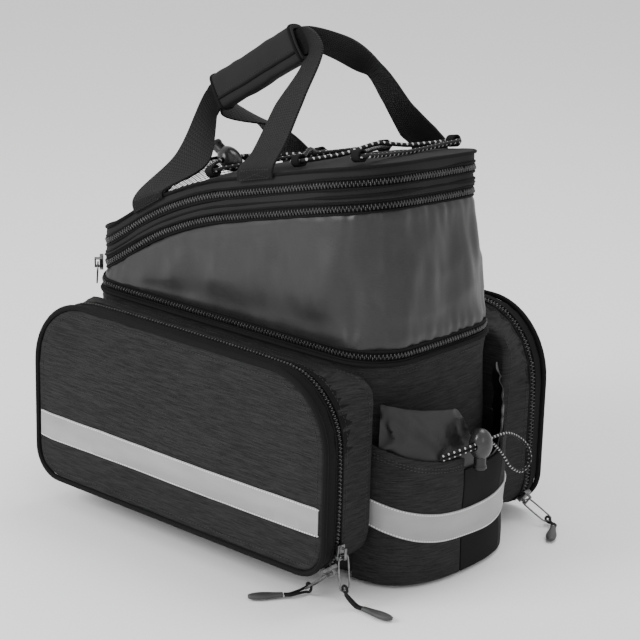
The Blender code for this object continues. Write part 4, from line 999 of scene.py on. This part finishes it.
def strap_frame(rows, t):
    """Centre, direction across, direction out and share of the width at one place on a strap."""
    points = [Vector(row[0]) for row in rows]
    last = len(points) - 1
    along = curve_point(points, min(t + 0.02, last)) - curve_point(points, max(t - 0.02, 0))
    index = min(int(t), last - 1)
    first, second = (Vector(rows[index + k][1]).normalized() for k in (0, 1))
    across = first.lerp(second, t - index).normalized()
    share = rows[index][2] + (rows[index + 1][2] - rows[index][2]) * (t - index)
    return curve_point(points, t), across, along.cross(across).normalized(), share


def mapped_grid(columns, rows_of, place_at, map_at):
    """A grid laid over place_at(across, along), both from 0 to 1, with its map in metres."""
    shape = bmesh.new()
    bmesh.ops.create_grid(shape, x_segments=columns, y_segments=rows_of, size=0.5)
    layer = shape.loops.layers.uv.new("map")
    for face in shape.faces:
        for corner in face.loops:
            corner[layer].uv = map_at(corner.vert.co.x + 0.5, corner.vert.co.y + 0.5)
    for vert in shape.verts:
        vert.co = place_at(vert.co.x + 0.5, vert.co.y + 0.5)
    return shape


STRAP_CUP = 0.004
STRAP_WAVE = 0.0006


def sew_strap(name, rows, node):
    last = len(rows) - 1
    points = [Vector(row[0]) for row in rows]
    dense = [curve_point(points, last * k / 200) for k in range(201)]
    length = sum((b - a).length for a, b in zip(dense, dense[1:]))

    def place_at(across, along):
        centre, wide, out, share = strap_frame(rows, last * along)
        side = (across - 0.5) * 2
        cup = (1 - share) * STRAP_CUP * (1 - side * side)
        wave = noise.noise(Vector((side * 0.8, along * 9.0, 4.0))) * STRAP_WAVE
        return centre + wide * STRAP_WIDTH * share * side / 2 + out * (wave - cup * 0.5)

    shape = mapped_grid(14, 150, place_at, lambda across, along: (across * STRAP_WIDTH, along * length))
    strap = hand_in(name, shape, webbing, [node], "webbing")
    thick = strap.modifiers.new("thickness", "SOLIDIFY")
    thick.thickness = STRAP_THICKNESS * 0.9
    thick.offset = 0.0
    soft_edges(strap, 0.0004)
    print(name, "length in mm:", round(length * 1000))


sew_strap("near_strap_webbing", NEAR_STRAP, "handle_strap_near")
sew_strap("far_strap_webbing", FAR_STRAP, "handle_strap_far")

# %% [markdown]
# The grip is a padded flap wrapped round both straps and closed under the hand. It bulges between
# its bound ends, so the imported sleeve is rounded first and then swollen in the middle.

# %% Padded grip
GRIP_START = Vector((-0.0720, -0.010, 0.3305))
GRIP_END = Vector((0.0130, -0.010, 0.3815))
GRIP_WAY = (GRIP_END - GRIP_START).normalized()
GRIP_LENGTH = (GRIP_END - GRIP_START).length
GRIP_ACROSS = Vector((0, 1, 0))
GRIP_UP = GRIP_WAY.cross(GRIP_ACROSS)
GRIP_SLICES = 12
GRIP_SWELL = 0.0006
GRIP_WAVE = 0.0013
GRIP_CRINKLE = 0.0004


def grip_folds(place, way):
    share = min(max((place - GRIP_START).dot(GRIP_WAY) / GRIP_LENGTH, 0.0), 1.0)
    centre = GRIP_START + GRIP_WAY * share * GRIP_LENGTH
    out = (place - centre).normalized()
    out = out - GRIP_WAY * out.dot(GRIP_WAY)
    swell = math.sin(math.pi * share) ** 0.6 * GRIP_SWELL
    wave = ripple(place, (45, 45, 45), 6.0) * GRIP_WAVE
    return out * (swell + wave + ripple(place, (110, 110, 110), 2.0) * GRIP_CRINKLE)


grip_shape = merged_copy("handle_grip")
for step in range(1, GRIP_SLICES):
    sliced(grip_shape, GRIP_START + GRIP_WAY * GRIP_LENGTH * step / GRIP_SLICES, GRIP_WAY)
grip = folded(refined(grip_shape, 2, 60, 0.7), grip_folds)
hand_in("grip_cloth", grip, grip_cloth, ["handle_grip"], "grip_padding")

grip_tree = surface_of("grip_cloth")


GRIP_SIGHT = 0.06


def grip_face(share, angle):
    """The place on the grip's outer face at a share of its length and a turn round it, and its way out."""
    centre = GRIP_START + GRIP_WAY * GRIP_LENGTH * share
    out = GRIP_ACROSS * math.cos(angle) + GRIP_UP * math.sin(angle)
    hit, _, _, _ = grip_tree.ray_cast(centre + out * GRIP_SIGHT, -out, GRIP_SIGHT)
    return hit if hit is not None else centre + out * 0.02, out


def cord_tube(points, radius, around):
    """A tube round a line of points, with its map in metres: round it and along it."""
    ways = []
    for k in range(len(points)):
        ways.append((points[min(k + 1, len(points) - 1)] - points[max(k - 1, 0)]).normalized())
    side = ways[0].orthogonal().normalized()
    sides = []
    for way in ways:
        side = (side - way * side.dot(way)).normalized()
        sides.append(side.copy())
    walked = [0.0]
    for here, following in zip(points, points[1:]):
        walked.append(walked[-1] + (following - here).length)
    rows = len(points) - 1

    def at(along):
        k = min(int(round(along * rows)), rows)
        return points[k], sides[k], ways[k].cross(sides[k]), walked[k]

    def place_at(across, along):
        centre, first, second, _ = at(along)
        angle = 2 * math.pi * across
        return centre + (first * math.cos(angle) + second * math.sin(angle)) * radius

    shape = mapped_grid(around, rows, place_at,
                        lambda across, along: (across * 2 * math.pi * radius, at(along)[3]))
    bmesh.ops.remove_doubles(shape, verts=shape.verts[:], dist=0.00001)
    rims = [edge for edge in shape.edges if edge.is_boundary]
    if rims:
        bmesh.ops.holes_fill(shape, edges=rims, sides=0)
    bmesh.ops.recalc_face_normals(shape, faces=shape.faces[:])
    return shape


RING_STEPS = 72
for name, share in (("grip_lower_binding", 0.025), ("grip_upper_binding", 0.975)):
    ring = [grip_face(share, 2 * math.pi * k / RING_STEPS)[0] for k in range(RING_STEPS)]
    hand_in(name, cord_tube(ring + ring[:1], 0.0013, 8), binding_cloth, (), "webbing")

# %% [markdown]
# The flap closes along the underside of the grip with hook tape. Its bound edge shows as a dark
# raised line along the near side, with a row of stitches beside it.

# %% The grip's closing edge


def grip_line(angle):
    """A line along the grip, from just inside one bound end to just inside the other."""
    return [grip_face(0.03 + 0.94 * k / 40, angle) for k in range(41)]


FLAP_TURN = math.radians(215)
STITCH_TURN = FLAP_TURN - 0.28
flap_edge = cord_tube([place for place, _ in grip_line(FLAP_TURN)], 0.0012, 8)
hand_in("grip_flap_binding", flap_edge, binding_cloth, (), "webbing")
stitch_rows("grip_flap_stitches", grip_tree, [grip_line(STITCH_TURN)], 0.003, (0.0011, 0.00028, 0.00025),
            thread_black, "grip_padding")

# %% [markdown]
# A fine net is sewn over the lid's front slope as a flat pocket. It starts as a grid turned by an
# eighth of a turn and trimmed square, so its holes are diamonds, and then each edge becomes a thread.

# %% Net pocket
NET_FRONT_X = -0.136
NET_REAR_X = -0.084
NET_WIDTH = 0.116
NET_LIFT = 0.017
NET_SEAT = 0.0013
NET_WAVE = 0.0012
THREAD = 0.00060


def net_place(along, side, lift=0.0):
    x = NET_FRONT_X + (NET_REAR_X - NET_FRONT_X) * along
    y = side * NET_WIDTH / 2 * (0.80 + 0.20 * along)
    puff = NET_LIFT * math.sin(math.pi / 2 * max(along, 0.0)) ** 1.2 * (1 - abs(side) ** 2.4)
    hold = (1 - abs(side)) * math.sin(math.pi * along)
    wave = noise.noise(Vector((x * 60, y * 60, 1.0))) * NET_WAVE * hold
    return Vector((x, y, crown_z(x, y) + NET_SEAT + puff + wave + lift))


net_shape = bmesh.new()
bmesh.ops.create_grid(net_shape, x_segments=42, y_segments=42, size=0.82,
                      matrix=Matrix.Rotation(math.radians(45), 4, "Z"))
for facing in (Vector((1, 0, 0)), Vector((-1, 0, 0)), Vector((0, 1, 0)), Vector((0, -1, 0))):
    sliced(net_shape, facing * 0.5, facing, trim=True)
for vert in net_shape.verts:
    vert.co = net_place(min(max(vert.co.x + 0.5, 0.0), 1.0), min(max(vert.co.y * 2, -1.0), 1.0))
net = hand_in("net_threads", net_shape, thread_black, ["net_pocket"], "net")
threads = net.modifiers.new("threads", "WIREFRAME")
threads.thickness = THREAD
threads.use_even_offset = False

EDGE_LIFT = 0.0002
mouth = [net_place(1.0, -1 + 2 * k / 40) for k in range(41)]
near_edge, far_edge = ([net_place(k / 24, side, EDGE_LIFT) for k in range(25)] for side in (NEAR, FAR))
foot = [net_place(0.0, -1 + 2 * k / 30, EDGE_LIFT) for k in range(31)]
for name, edge, radius in (("net_mouth_binding", mouth, 0.0012), ("near_net_edge", near_edge, 0.0010),
                           ("far_net_edge", far_edge, 0.0010), ("net_foot_edge", foot, 0.0010)):
    hand_in(name, cord_tube(edge, radius, 8), binding_cloth, (), "net")

# %% [markdown]
# One elastic cord laces the top of the lid, to hold down a jacket. It runs through sewn loops on
# both edges and is gathered in a lock. White flecks are woven into its black braid.

# %% Elastic lacing
LACING = (
    (-.0700, -.0128, .2763), (-.0700, 0, .2763), (-.0700, .0128, .2763), (-.0340, .0600, .2777),
    (-.0220, .0600, .2815), (-.0132, .0456, .2843), (-.0015, .0264, .2886), (.0087, .0096, .2949),
    (.0145, 0, .2980), (.0203, -.0096, .2985), (.0305, -.0264, .2983), (.0422, -.0456, .3010),
    (.0509, -.0600, .3037), (.0631, -.0600, .3066), (.0675, -.0456, .3071), (.0734, -.0264, .3085),
    (.0785, -.0096, .3121), (.0815, 0, .3135), (.0845, .0096, .3123), (.0896, .0264, .3097),
    (.0955, .0456, .3092), (.1000, .0600, .3093), (.1120, .0600, .3116), (.1132, .0420, .3123),
    (.1160, 0, .3136), (.1189, -.0420, .3171), (.1200, -.0600, .3195), (.1080, -.0600, .3170),
    (.0984, -.0420, .3142), (.0760, 0, .3079), (.0536, .0420, .2999), (.0441, .0600, .2968),
    (.0320, .0600, .2941), (.0236, .0420, .2931), (.0040, 0, .2910), (-.0156, -.0420, .2868),
    (-.0239, -.0600, .2850), (-.0360, -.0600, .2808),
)


def smooth_line(points, pitch, closed=False):
    """Evenly spaced places on the smooth line through the points."""
    points = [Vector(point) for point in points]
    if closed:
        points = [points[-1]] + points + points[:2]
    first, last = (1, len(points) - 2) if closed else (0, len(points) - 1)
    count = 40 * (last - first)
    dense = [curve_point(points, first + (last - first) * k / count) for k in range(count + 1)]
    length = sum((b - a).length for a, b in zip(dense, dense[1:]))
    steps = max(int(length / pitch), 8)
    places, walked = [dense[0]], 0.0
    for start, end in zip(dense, dense[1:]):
        size = (end - start).length
        while size > 0 and len(places) <= steps and len(places) * length / steps <= walked + size + 1e-9:
            places.append(start.lerp(end, (len(places) * length / steps - walked) / size))
        walked += size
    if len(places) <= steps:
        places.append(dense[-1])
    return places, length


lacing_places, lacing_length = smooth_line(LACING, 0.0022, closed=True)
lacing = cord_tube(lacing_places, LACING_RADIUS, 12)
hand_in("lacing_cord", lacing, bungee_braid, ["bungee_cord"], "elastic_cord")
print("lacing in mm:", round(lacing_length * 1000))
for word, side in SIDES:
    for k in (1, 2, 3):
        node = "bungee_loop_" + word + "_" + str(k)
        loop = refined(merged_copy(node), 2, 60, 0.85)
        hand_in(node + "_webbing", loop, binding_cloth, [node], "webbing")

# %% [markdown]
# Four thin cords are free: the one that draws the rear pocket shut, and a short one tied through
# each of three pull rings, with its tab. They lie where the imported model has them.

# %% Free cords
POCKET_DRAWCORD = (
    (.1804, -.0338, .1008), (.1882, -.0255, .1050), (.1934, -.0154, .1078), (.1934, -.0046, .1078),
    (.1934, .0062, .1078), (.1914, .0294, .1055), (.1894, .0474, .0975), (.1884, .0634, .0845),
    (.1884, .0674, .0725), (.1884, .0584, .0665), (.1894, .0414, .0745), (.1904, .0254, .0915),
    (.1934, .0062, .1052), (.1934, -.0046, .1052), (.1934, -.0154, .1052), (.1882, -.0255, .1023),
    (.1804, -.0338, .0981),
)
PULL_CORDS = {
    "near_upper": (
        (.1732, -.1125, .0030), (.1686, -.1128, .0030), (.1631, -.1180, .0130), (.1642, -.1175, .0153),
        (.1632, -.1170, .0176), (.1608, -.1164, .0184), (.1586, -.1159, .0171), (.1581, -.1154, .0147),
        (.1596, -.1148, .0126), (.1684, -.1098, .0030), (.1730, -.1096, .0030)),
    "near_lower": (
        (.1164, -.1324, .0030), (.1193, -.1288, .0030), (.1232, -.1148, .0056), (.1239, -.1154, .0080),
        (.1262, -.1159, .0091), (.1286, -.1164, .0080), (.1293, -.1170, .0056), (.1280, -.1175, .0034),
        (.1255, -.1180, .0029), (.1216, -.1306, .0030), (.1187, -.1342, .0030)),
    "far": (
        (.1833, .1100, .0030), (.1809, .1140, .0030), (.1789, .1148, .0052), (.1775, .1154, .0072),
        (.1750, .1159, .0075), (.1731, .1164, .0058), (.1731, .1170, .0033), (.1750, .1175, .0022),
        (.1775, .1180, .0022), (.1835, .1155, .0030), (.1858, .1115, .0030)),
}
places, length = smooth_line(POCKET_DRAWCORD, 0.0016)
drawcord = hand_in("pocket_drawcord_braid", cord_tube(places, DRAWCORD_RADIUS, 12), drawcord_braid,
                   ["pocket_drawcord"], "elastic_cord")
[tuple(place) for place in places]
print("pocket cord in mm:", round(length * 1000))
for pull, route in PULL_CORDS.items():
    rubber = refined(merged_copy(pull + "_pull_end"), 2, 80)
    rubber = hand_in(pull + "_pull_tab", rubber, pull_rubber, [pull + "_pull_end"], "pull_rubber")
    places, length = smooth_line(route, 0.0009)
    cord = hand_in(pull + "_pull_braid", cord_tube(places, PULL_RADIUS, 10), black_braid,
                   [pull + "_pull_cord"], "elastic_cord")
    [tuple(place) for place in places]
    print(pull, "pull cord in mm:", round(length * 1000))

# %% [markdown]
# Sliders, bridges and rings are cast and bent metal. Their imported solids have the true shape, so
# the copies only get rounded edges and smooth wire.

# %% Sliders and rings
for pull in ("near_upper", "near_lower", "far", "front"):
    slider = hand_in(pull + "_slider_metal", merged_copy(pull + "_slider"), zip_metal, [pull + "_slider"],
                     "zip_metal", sharp=30)
    soft_edges(slider, 0.00035)
    wire = refined(merged_copy(pull + "_ring"), 2, 150)
    hand_in(pull + "_ring_wire", wire, zip_metal, [pull + "_ring"], "zip_metal")
    low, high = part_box(pull + "_ring")
    print(pull, "ring spans in mm:", [round(span * 1000) for span in high - low])

# %% [markdown]
# A ball cord lock is a moulded shell with a spring and a plunger inside. Pressing the plunger lines
# its slot up with the hole through the shell. The shell is spun from its outline, then its bore
# and its cord hole are cut through it.

# %% Cord locks
LOCK_RADIUS = 0.0088
LOCK_HALF = 0.0120
LOCK_BORE = 0.0049
LOCK_TRAVEL = 0.004
LOCK_CLEAR = 0.0003
FOOT_SIZE = 0.0105
FOOT_HEIGHT = 0.0030
FOOT_ROUND = 0.0006
FOOT_BEVEL = 0.0005
STEM_RADIUS = 0.0046
STEM_FLARE = 0.0004
RIB_PITCH = 0.0017
LID_LOCK = Matrix.Translation((-0.070, 0.0, 0.2763)) @ Matrix.Rotation(math.radians(120), 4, "Y")
POCKET_LOCK = Matrix.Translation((0.19339, -0.00457, 0.1065))


def spun(outline, steps=40):
    """A solid turned from (radius, height) points that start and end on its own axis."""
    shape = bmesh.new()
    verts = [shape.verts.new((radius, 0.0, height)) for radius, height in outline]
    edges = [shape.edges.new(pair) for pair in zip(verts, verts[1:])]
    bmesh.ops.spin(shape, geom=verts + edges, cent=(0, 0, 0), axis=(0, 0, 1), angle=2 * math.pi, steps=steps,
                   use_merge=True)
    bmesh.ops.remove_doubles(shape, verts=shape.verts[:], dist=0.00001)
    bmesh.ops.recalc_face_normals(shape, faces=shape.faces[:])
    return shape


def cutting_tool(shape):
    mesh = bpy.data.meshes.new("cutter")
    shape.to_mesh(mesh)
    shape.free()
    tool = bpy.data.objects.new("cutter", mesh)
    bpy.context.scene.collection.objects.link(tool)
    return tool


def pierced(shape, tools):
    """The shape with every tool's space cut out of it."""
    whole = cutting_tool(shape)
    for tool in tools:
        cut = whole.modifiers.new("cut", "BOOLEAN")
        cut.operation = "DIFFERENCE"
        cut.solver = "EXACT"
        cut.object = tool
    ready = bpy.data.meshes.new_from_object(whole.evaluated_get(bpy.context.evaluated_depsgraph_get()))
    for item in [whole] + tools:
        bpy.data.objects.remove(item)
    return ready


UPRIGHT = Matrix.Identity(4)
SIDEWAYS = Matrix.Rotation(math.radians(90), 4, "X")


def rod(radius, depth, place, turn):
    shape = bmesh.new()
    bmesh.ops.create_cone(shape, cap_ends=True, segments=28, radius1=radius, radius2=radius, depth=depth,
                          matrix=Matrix.Translation(place) @ turn)
    return cutting_tool(shape)


def rounded_bar(size, place, rounding):
    shape = bmesh.new()
    bmesh.ops.create_cube(shape, size=1.0, matrix=Matrix.Translation(place) @ Matrix.Diagonal((*size, 1.0)))
    bmesh.ops.bevel(shape, geom=shape.edges[:], offset=rounding, offset_type="OFFSET", segments=3,
                    profile=0.5, affect="EDGES", material=-1)
    return cutting_tool(shape)


def build_lock(prefix, frame_turn, cord_hole, ribbed, body):
    """A shell spun from its outline, and a plunger that slides in it on its own body."""
    outline = [(0.0, -LOCK_HALF * 0.91)]
    for degrees in range(-66, 85, 6):
        angle = math.radians(degrees)
        outline.append((LOCK_RADIUS * math.cos(angle), LOCK_HALF * math.sin(angle)))
    outline.append((0.0, LOCK_HALF))
    shell = spun(outline)
    bore_top = LOCK_HALF * 0.55
    tools = [rod(LOCK_BORE, bore_top + 2 * LOCK_HALF, (0, 0, bore_top / 2 - LOCK_HALF), UPRIGHT),
             rod(cord_hole, 4 * LOCK_RADIUS, (0, 0, 0), SIDEWAYS)]
    shell = pierced(shell, tools)
    shell.transform(frame_turn)
    hand_in(prefix + "_ball", shell, lock_plastic, [prefix], "lock_plastic", sharp=35)
    foot_z = -LOCK_HALF - LOCK_TRAVEL - FOOT_HEIGHT - LOCK_CLEAR
    foot_top = foot_z + FOOT_HEIGHT
    stem_top = bore_top - LOCK_TRAVEL - 2 * LOCK_CLEAR
    stem = spun([(0.0, foot_z), (FOOT_SIZE / 2 - FOOT_ROUND, foot_z), (FOOT_SIZE / 2, foot_z + FOOT_ROUND),
                 (FOOT_SIZE / 2, foot_top - FOOT_ROUND), (FOOT_SIZE / 2 - FOOT_BEVEL, foot_top),
                 (STEM_RADIUS, foot_top + STEM_FLARE), (STEM_RADIUS, stem_top), (0.0, stem_top)], 32)
    low = -cord_hole - LOCK_TRAVEL - LOCK_CLEAR
    slot_tool = rounded_bar((2 * cord_hole, 4 * LOCK_RADIUS, cord_hole - low),
                            (0, 0, (cord_hole + low) / 2), 0.0004)
    grooves = []
    if ribbed:
        grooves = [rounded_bar((0.0007, 4 * FOOT_SIZE, 0.0012), (k * RIB_PITCH, 0, foot_z), 0.0001)
                   for k in (-2, -1, 0, 1, 2)]
    stem = pierced(stem, [slot_tool] + grooves)
    stem.transform(frame_turn)
    hand_in(prefix + "_button", stem, foot_plastic, [prefix + "_plunger"], "plunger_plastic", body, 35)


build_lock("lid_cord_lock", LID_LOCK, LACING_RADIUS + 2 * LOCK_CLEAR, True, "lid_plunger")
build_lock("pocket_cord_lock", POCKET_LOCK, 2.75 * DRAWCORD_RADIUS, False, "pocket_plunger")

# %% [markdown]
# Seams give cloth its edges. A cord of binding runs round the body's rim and the lid's edge, and
# thin cords fill the seams beside the zips, where two cloths meet.

# %% Rims and seams
SEAM_PITCH = 0.004
RIM_DROP = 0.0022
RIM_STITCH_DROP = 0.0085
RIM_STITCH = (0.0011, 0.00027, 0.00025)
STITCH = (0.0011, 0.00034, 0.00030)
STITCH_PITCH = 0.0031
LID_SEAMS = (("sleeve_top_seam", -0.0001, 0.0009, 0.0006), ("band_lower_seam", 0.00795, 0.0010, 0.0006),
             ("band_fold", 0.0125, 0.0011, 0.0003), ("band_upper_seam", 0.01795, 0.0010, 0.0006),
             ("crown_lower_seam", 0.0257, 0.0010, 0.0006), ("crown_edge_piping", 0.0332, 0.0013, 0.0003))
BODY_SEAMS = (("body_zip_seam", 0.17115), ("sleeve_foot_seam", 0.17895))
POUCH_SEAMS = (("pouch_piping_cord", 0.1316, 0.0004, 0.0022, 0.0),
               ("zip_front_seam", 0.1204, 0.0, 0.0009, 0.0005),
               ("zip_back_seam", 0.1126, 0.0, 0.0009, 0.0005))


def seam_cord(name, line, radius, sink, stands_for=()):
    """A closed cord sewn into a seam, sunk a little below the cloth on each side of it."""
    points = [place - out * sink for place, out, _ in even_steps(line, SEAM_PITCH)]
    hand_in(name, cord_tube(points + points[:1], radius, 8), binding_cloth, stands_for, "piping")


body_tree = surface_of("body_cloth")
rim = pressed_on(body_tree, even_steps(body_ring_line(BODY_TOP - RIM_DROP), SEAM_PITCH), 0.0004)
rim_points = [place for place, _, _ in rim]
hand_in("body_rim_piping", cord_tube(rim_points + rim_points[:1], 0.0018, 8), binding_cloth, (), "piping")
for name, rise, radius, sink in LID_SEAMS:
    seam_cord(name, lid_ring_line(rise), radius, sink)
for name, z in BODY_SEAMS:
    seam_cord(name, body_ring_line(z), 0.0009, 0.0006)
for word, side in SIDES:
    for name, y, inset, radius, sink in POUCH_SEAMS:
        node = [word + "_pouch_piping"] if "piping" in name else []
        seam_cord(word + "_" + name, pouch_line(side, inset, side * y), radius, sink, node)
stitch_rows("body_rim_stitches", body_tree, [body_ring_line(BODY_TOP - RIM_STITCH_DROP)], STITCH_PITCH,
            RIM_STITCH, thread_black, "heathered_polyester")

# %% [markdown]
# Each pouch has white stitches along its strip of tape, a row just inside its piping, and two
# rows round its gusset.

# %% Pouch stitches
TAPE_STITCH = (0.00105, 0.00062, 0.00035)
TAPE_STITCH_PITCH = 0.0023
TAPE_STITCH_LIFT = 0.00012
FACE_SIGHT_Y = 0.134
FACE_SEAM_INSET = 0.0075
GUSSET_SEAMS = (0.1085, 0.0850)
for word, side in SIDES:
    out = Vector((0, side, 0))
    lines = []
    for offset in (-TAPE_SEAM, TAPE_SEAM):
        z = hung(side, POUCH_TAPE_Z) + offset * (FAR_STRETCH if side == FAR else 1.0)
        lines.append([(Vector((x / 100, side * FACE_SIGHT_Y, z)), out) for x in (-15, -10, -5, 0, 5, 10, 15)])
    stitch_rows(word + "_tape_stitches", surface_of(word + "_pouch_tape"), lines, TAPE_STITCH_PITCH,
                TAPE_STITCH, thread_pale, "reflective_tape", TAPE_STITCH_LIFT)
    seam = [(place, out) for place, _ in pouch_line(side, FACE_SEAM_INSET, side * FACE_SIGHT_Y)]
    stitch_rows(word + "_face_seam", surface_of(word + "_pouch_face_cloth"), [seam], STITCH_PITCH, STITCH,
                thread_black, "heathered_polyester")
    stitch_rows(word + "_gusset_stitches", surface_of(word + "_pouch_back_cloth"),
                [pouch_line(side, 0.0, side * y) for y in GUSSET_SEAMS], STITCH_PITCH, STITCH, thread_black,
                "heathered_polyester", reach=0.03)
print("pouch seams done")

# %% [markdown]
# The pocket's hem is turned over and sewn with two rows. Two rows of white stitches hold its tape.

# %% Pocket stitches


POCKET_SWEEP = 86
POCKET_STAND_OFF = 0.003
HEM_SEAMS = (0.0055, 0.0080)


def pocket_line(height):
    """Points and outward directions just outside the pocket's bowed plan, for a height at its ends."""
    line = []
    for k in range(121):
        angle = -POCKET_SWEEP + 2 * POCKET_SWEEP * k / 120
        turn = math.radians(angle)
        out = Vector((math.cos(turn), math.sin(turn), 0.0))
        reach = (POCKET_REACH + POCKET_STAND_OFF) * max(out.x, 0.0) ** (2 / POCKET_ROUNDNESS)
        half = (POCKET_HALF + POCKET_STAND_OFF) * abs(out.y) ** (2 / POCKET_ROUNDNESS)
        sink = POCKET_SAG * max(out.x, 0.0) ** 1.5 + POCKET_LEAN * (angle + 90) / 180
        line.append((Vector((POCKET_START_X + reach, math.copysign(half, turn), height - sink)), out))
    return line


stitch_rows("pocket_tape_stitches", surface_of("pocket_reflector_cloth"),
            [pocket_line(POCKET_TAPE_Z + offset) for offset in (-TAPE_SEAM, TAPE_SEAM)], TAPE_STITCH_PITCH,
            TAPE_STITCH, thread_pale, "reflective_tape", TAPE_STITCH_LIFT)
stitch_rows("pocket_hem_stitches", surface_of("pocket_left_panel_cloth", "pocket_right_panel_cloth"),
            [pocket_line(POCKET_HEM_Z - drop) for drop in HEM_SEAMS], 0.0030, STITCH, thread_grey,
            "heathered_polyester")

# %% [markdown]
# Each strap ends in a foot sewn flat to the lid's side: a box of stitches with a cross in it.

# %% Strap feet


FOOT_INSET = 0.82
FOOT_SPAN = (0.08, 0.92)


def foot_box(rows, start, end):
    """Lines round and across the flat foot of a strap, from one place on it to another."""
    def at(side, t):
        centre, wide, out, share = strap_frame(rows, t)
        out = out if out.y * centre.y > 0 else -out
        return centre + wide * side * STRAP_WIDTH * share / 2, out

    corners = [at(-FOOT_INSET, start), at(FOOT_INSET, start), at(FOOT_INSET, end), at(-FOOT_INSET, end)]
    lines = [[corners[k], corners[(k + 1) % 4]] for k in range(4)]
    return lines + [[corners[0], corners[2]], [corners[1], corners[3]]]


for word, rows in (("near", NEAR_STRAP), ("far", FAR_STRAP)):
    last = len(rows) - 1
    stitches = []
    for start, end in (FOOT_SPAN, (last - FOOT_SPAN[0], last - FOOT_SPAN[1])):
        for line in foot_box(rows, start, end):
            for place, out, along in even_steps(line, 0.0026):
                flat = (along - out * along.dot(out)).normalized()
                stitches.append((place + out * STRAP_THICKNESS * 0.52, out, flat))
    bead_row(word + "_strap_stitches", stitches, (0.0010, 0.00032, 0.00028), thread_black, "webbing")
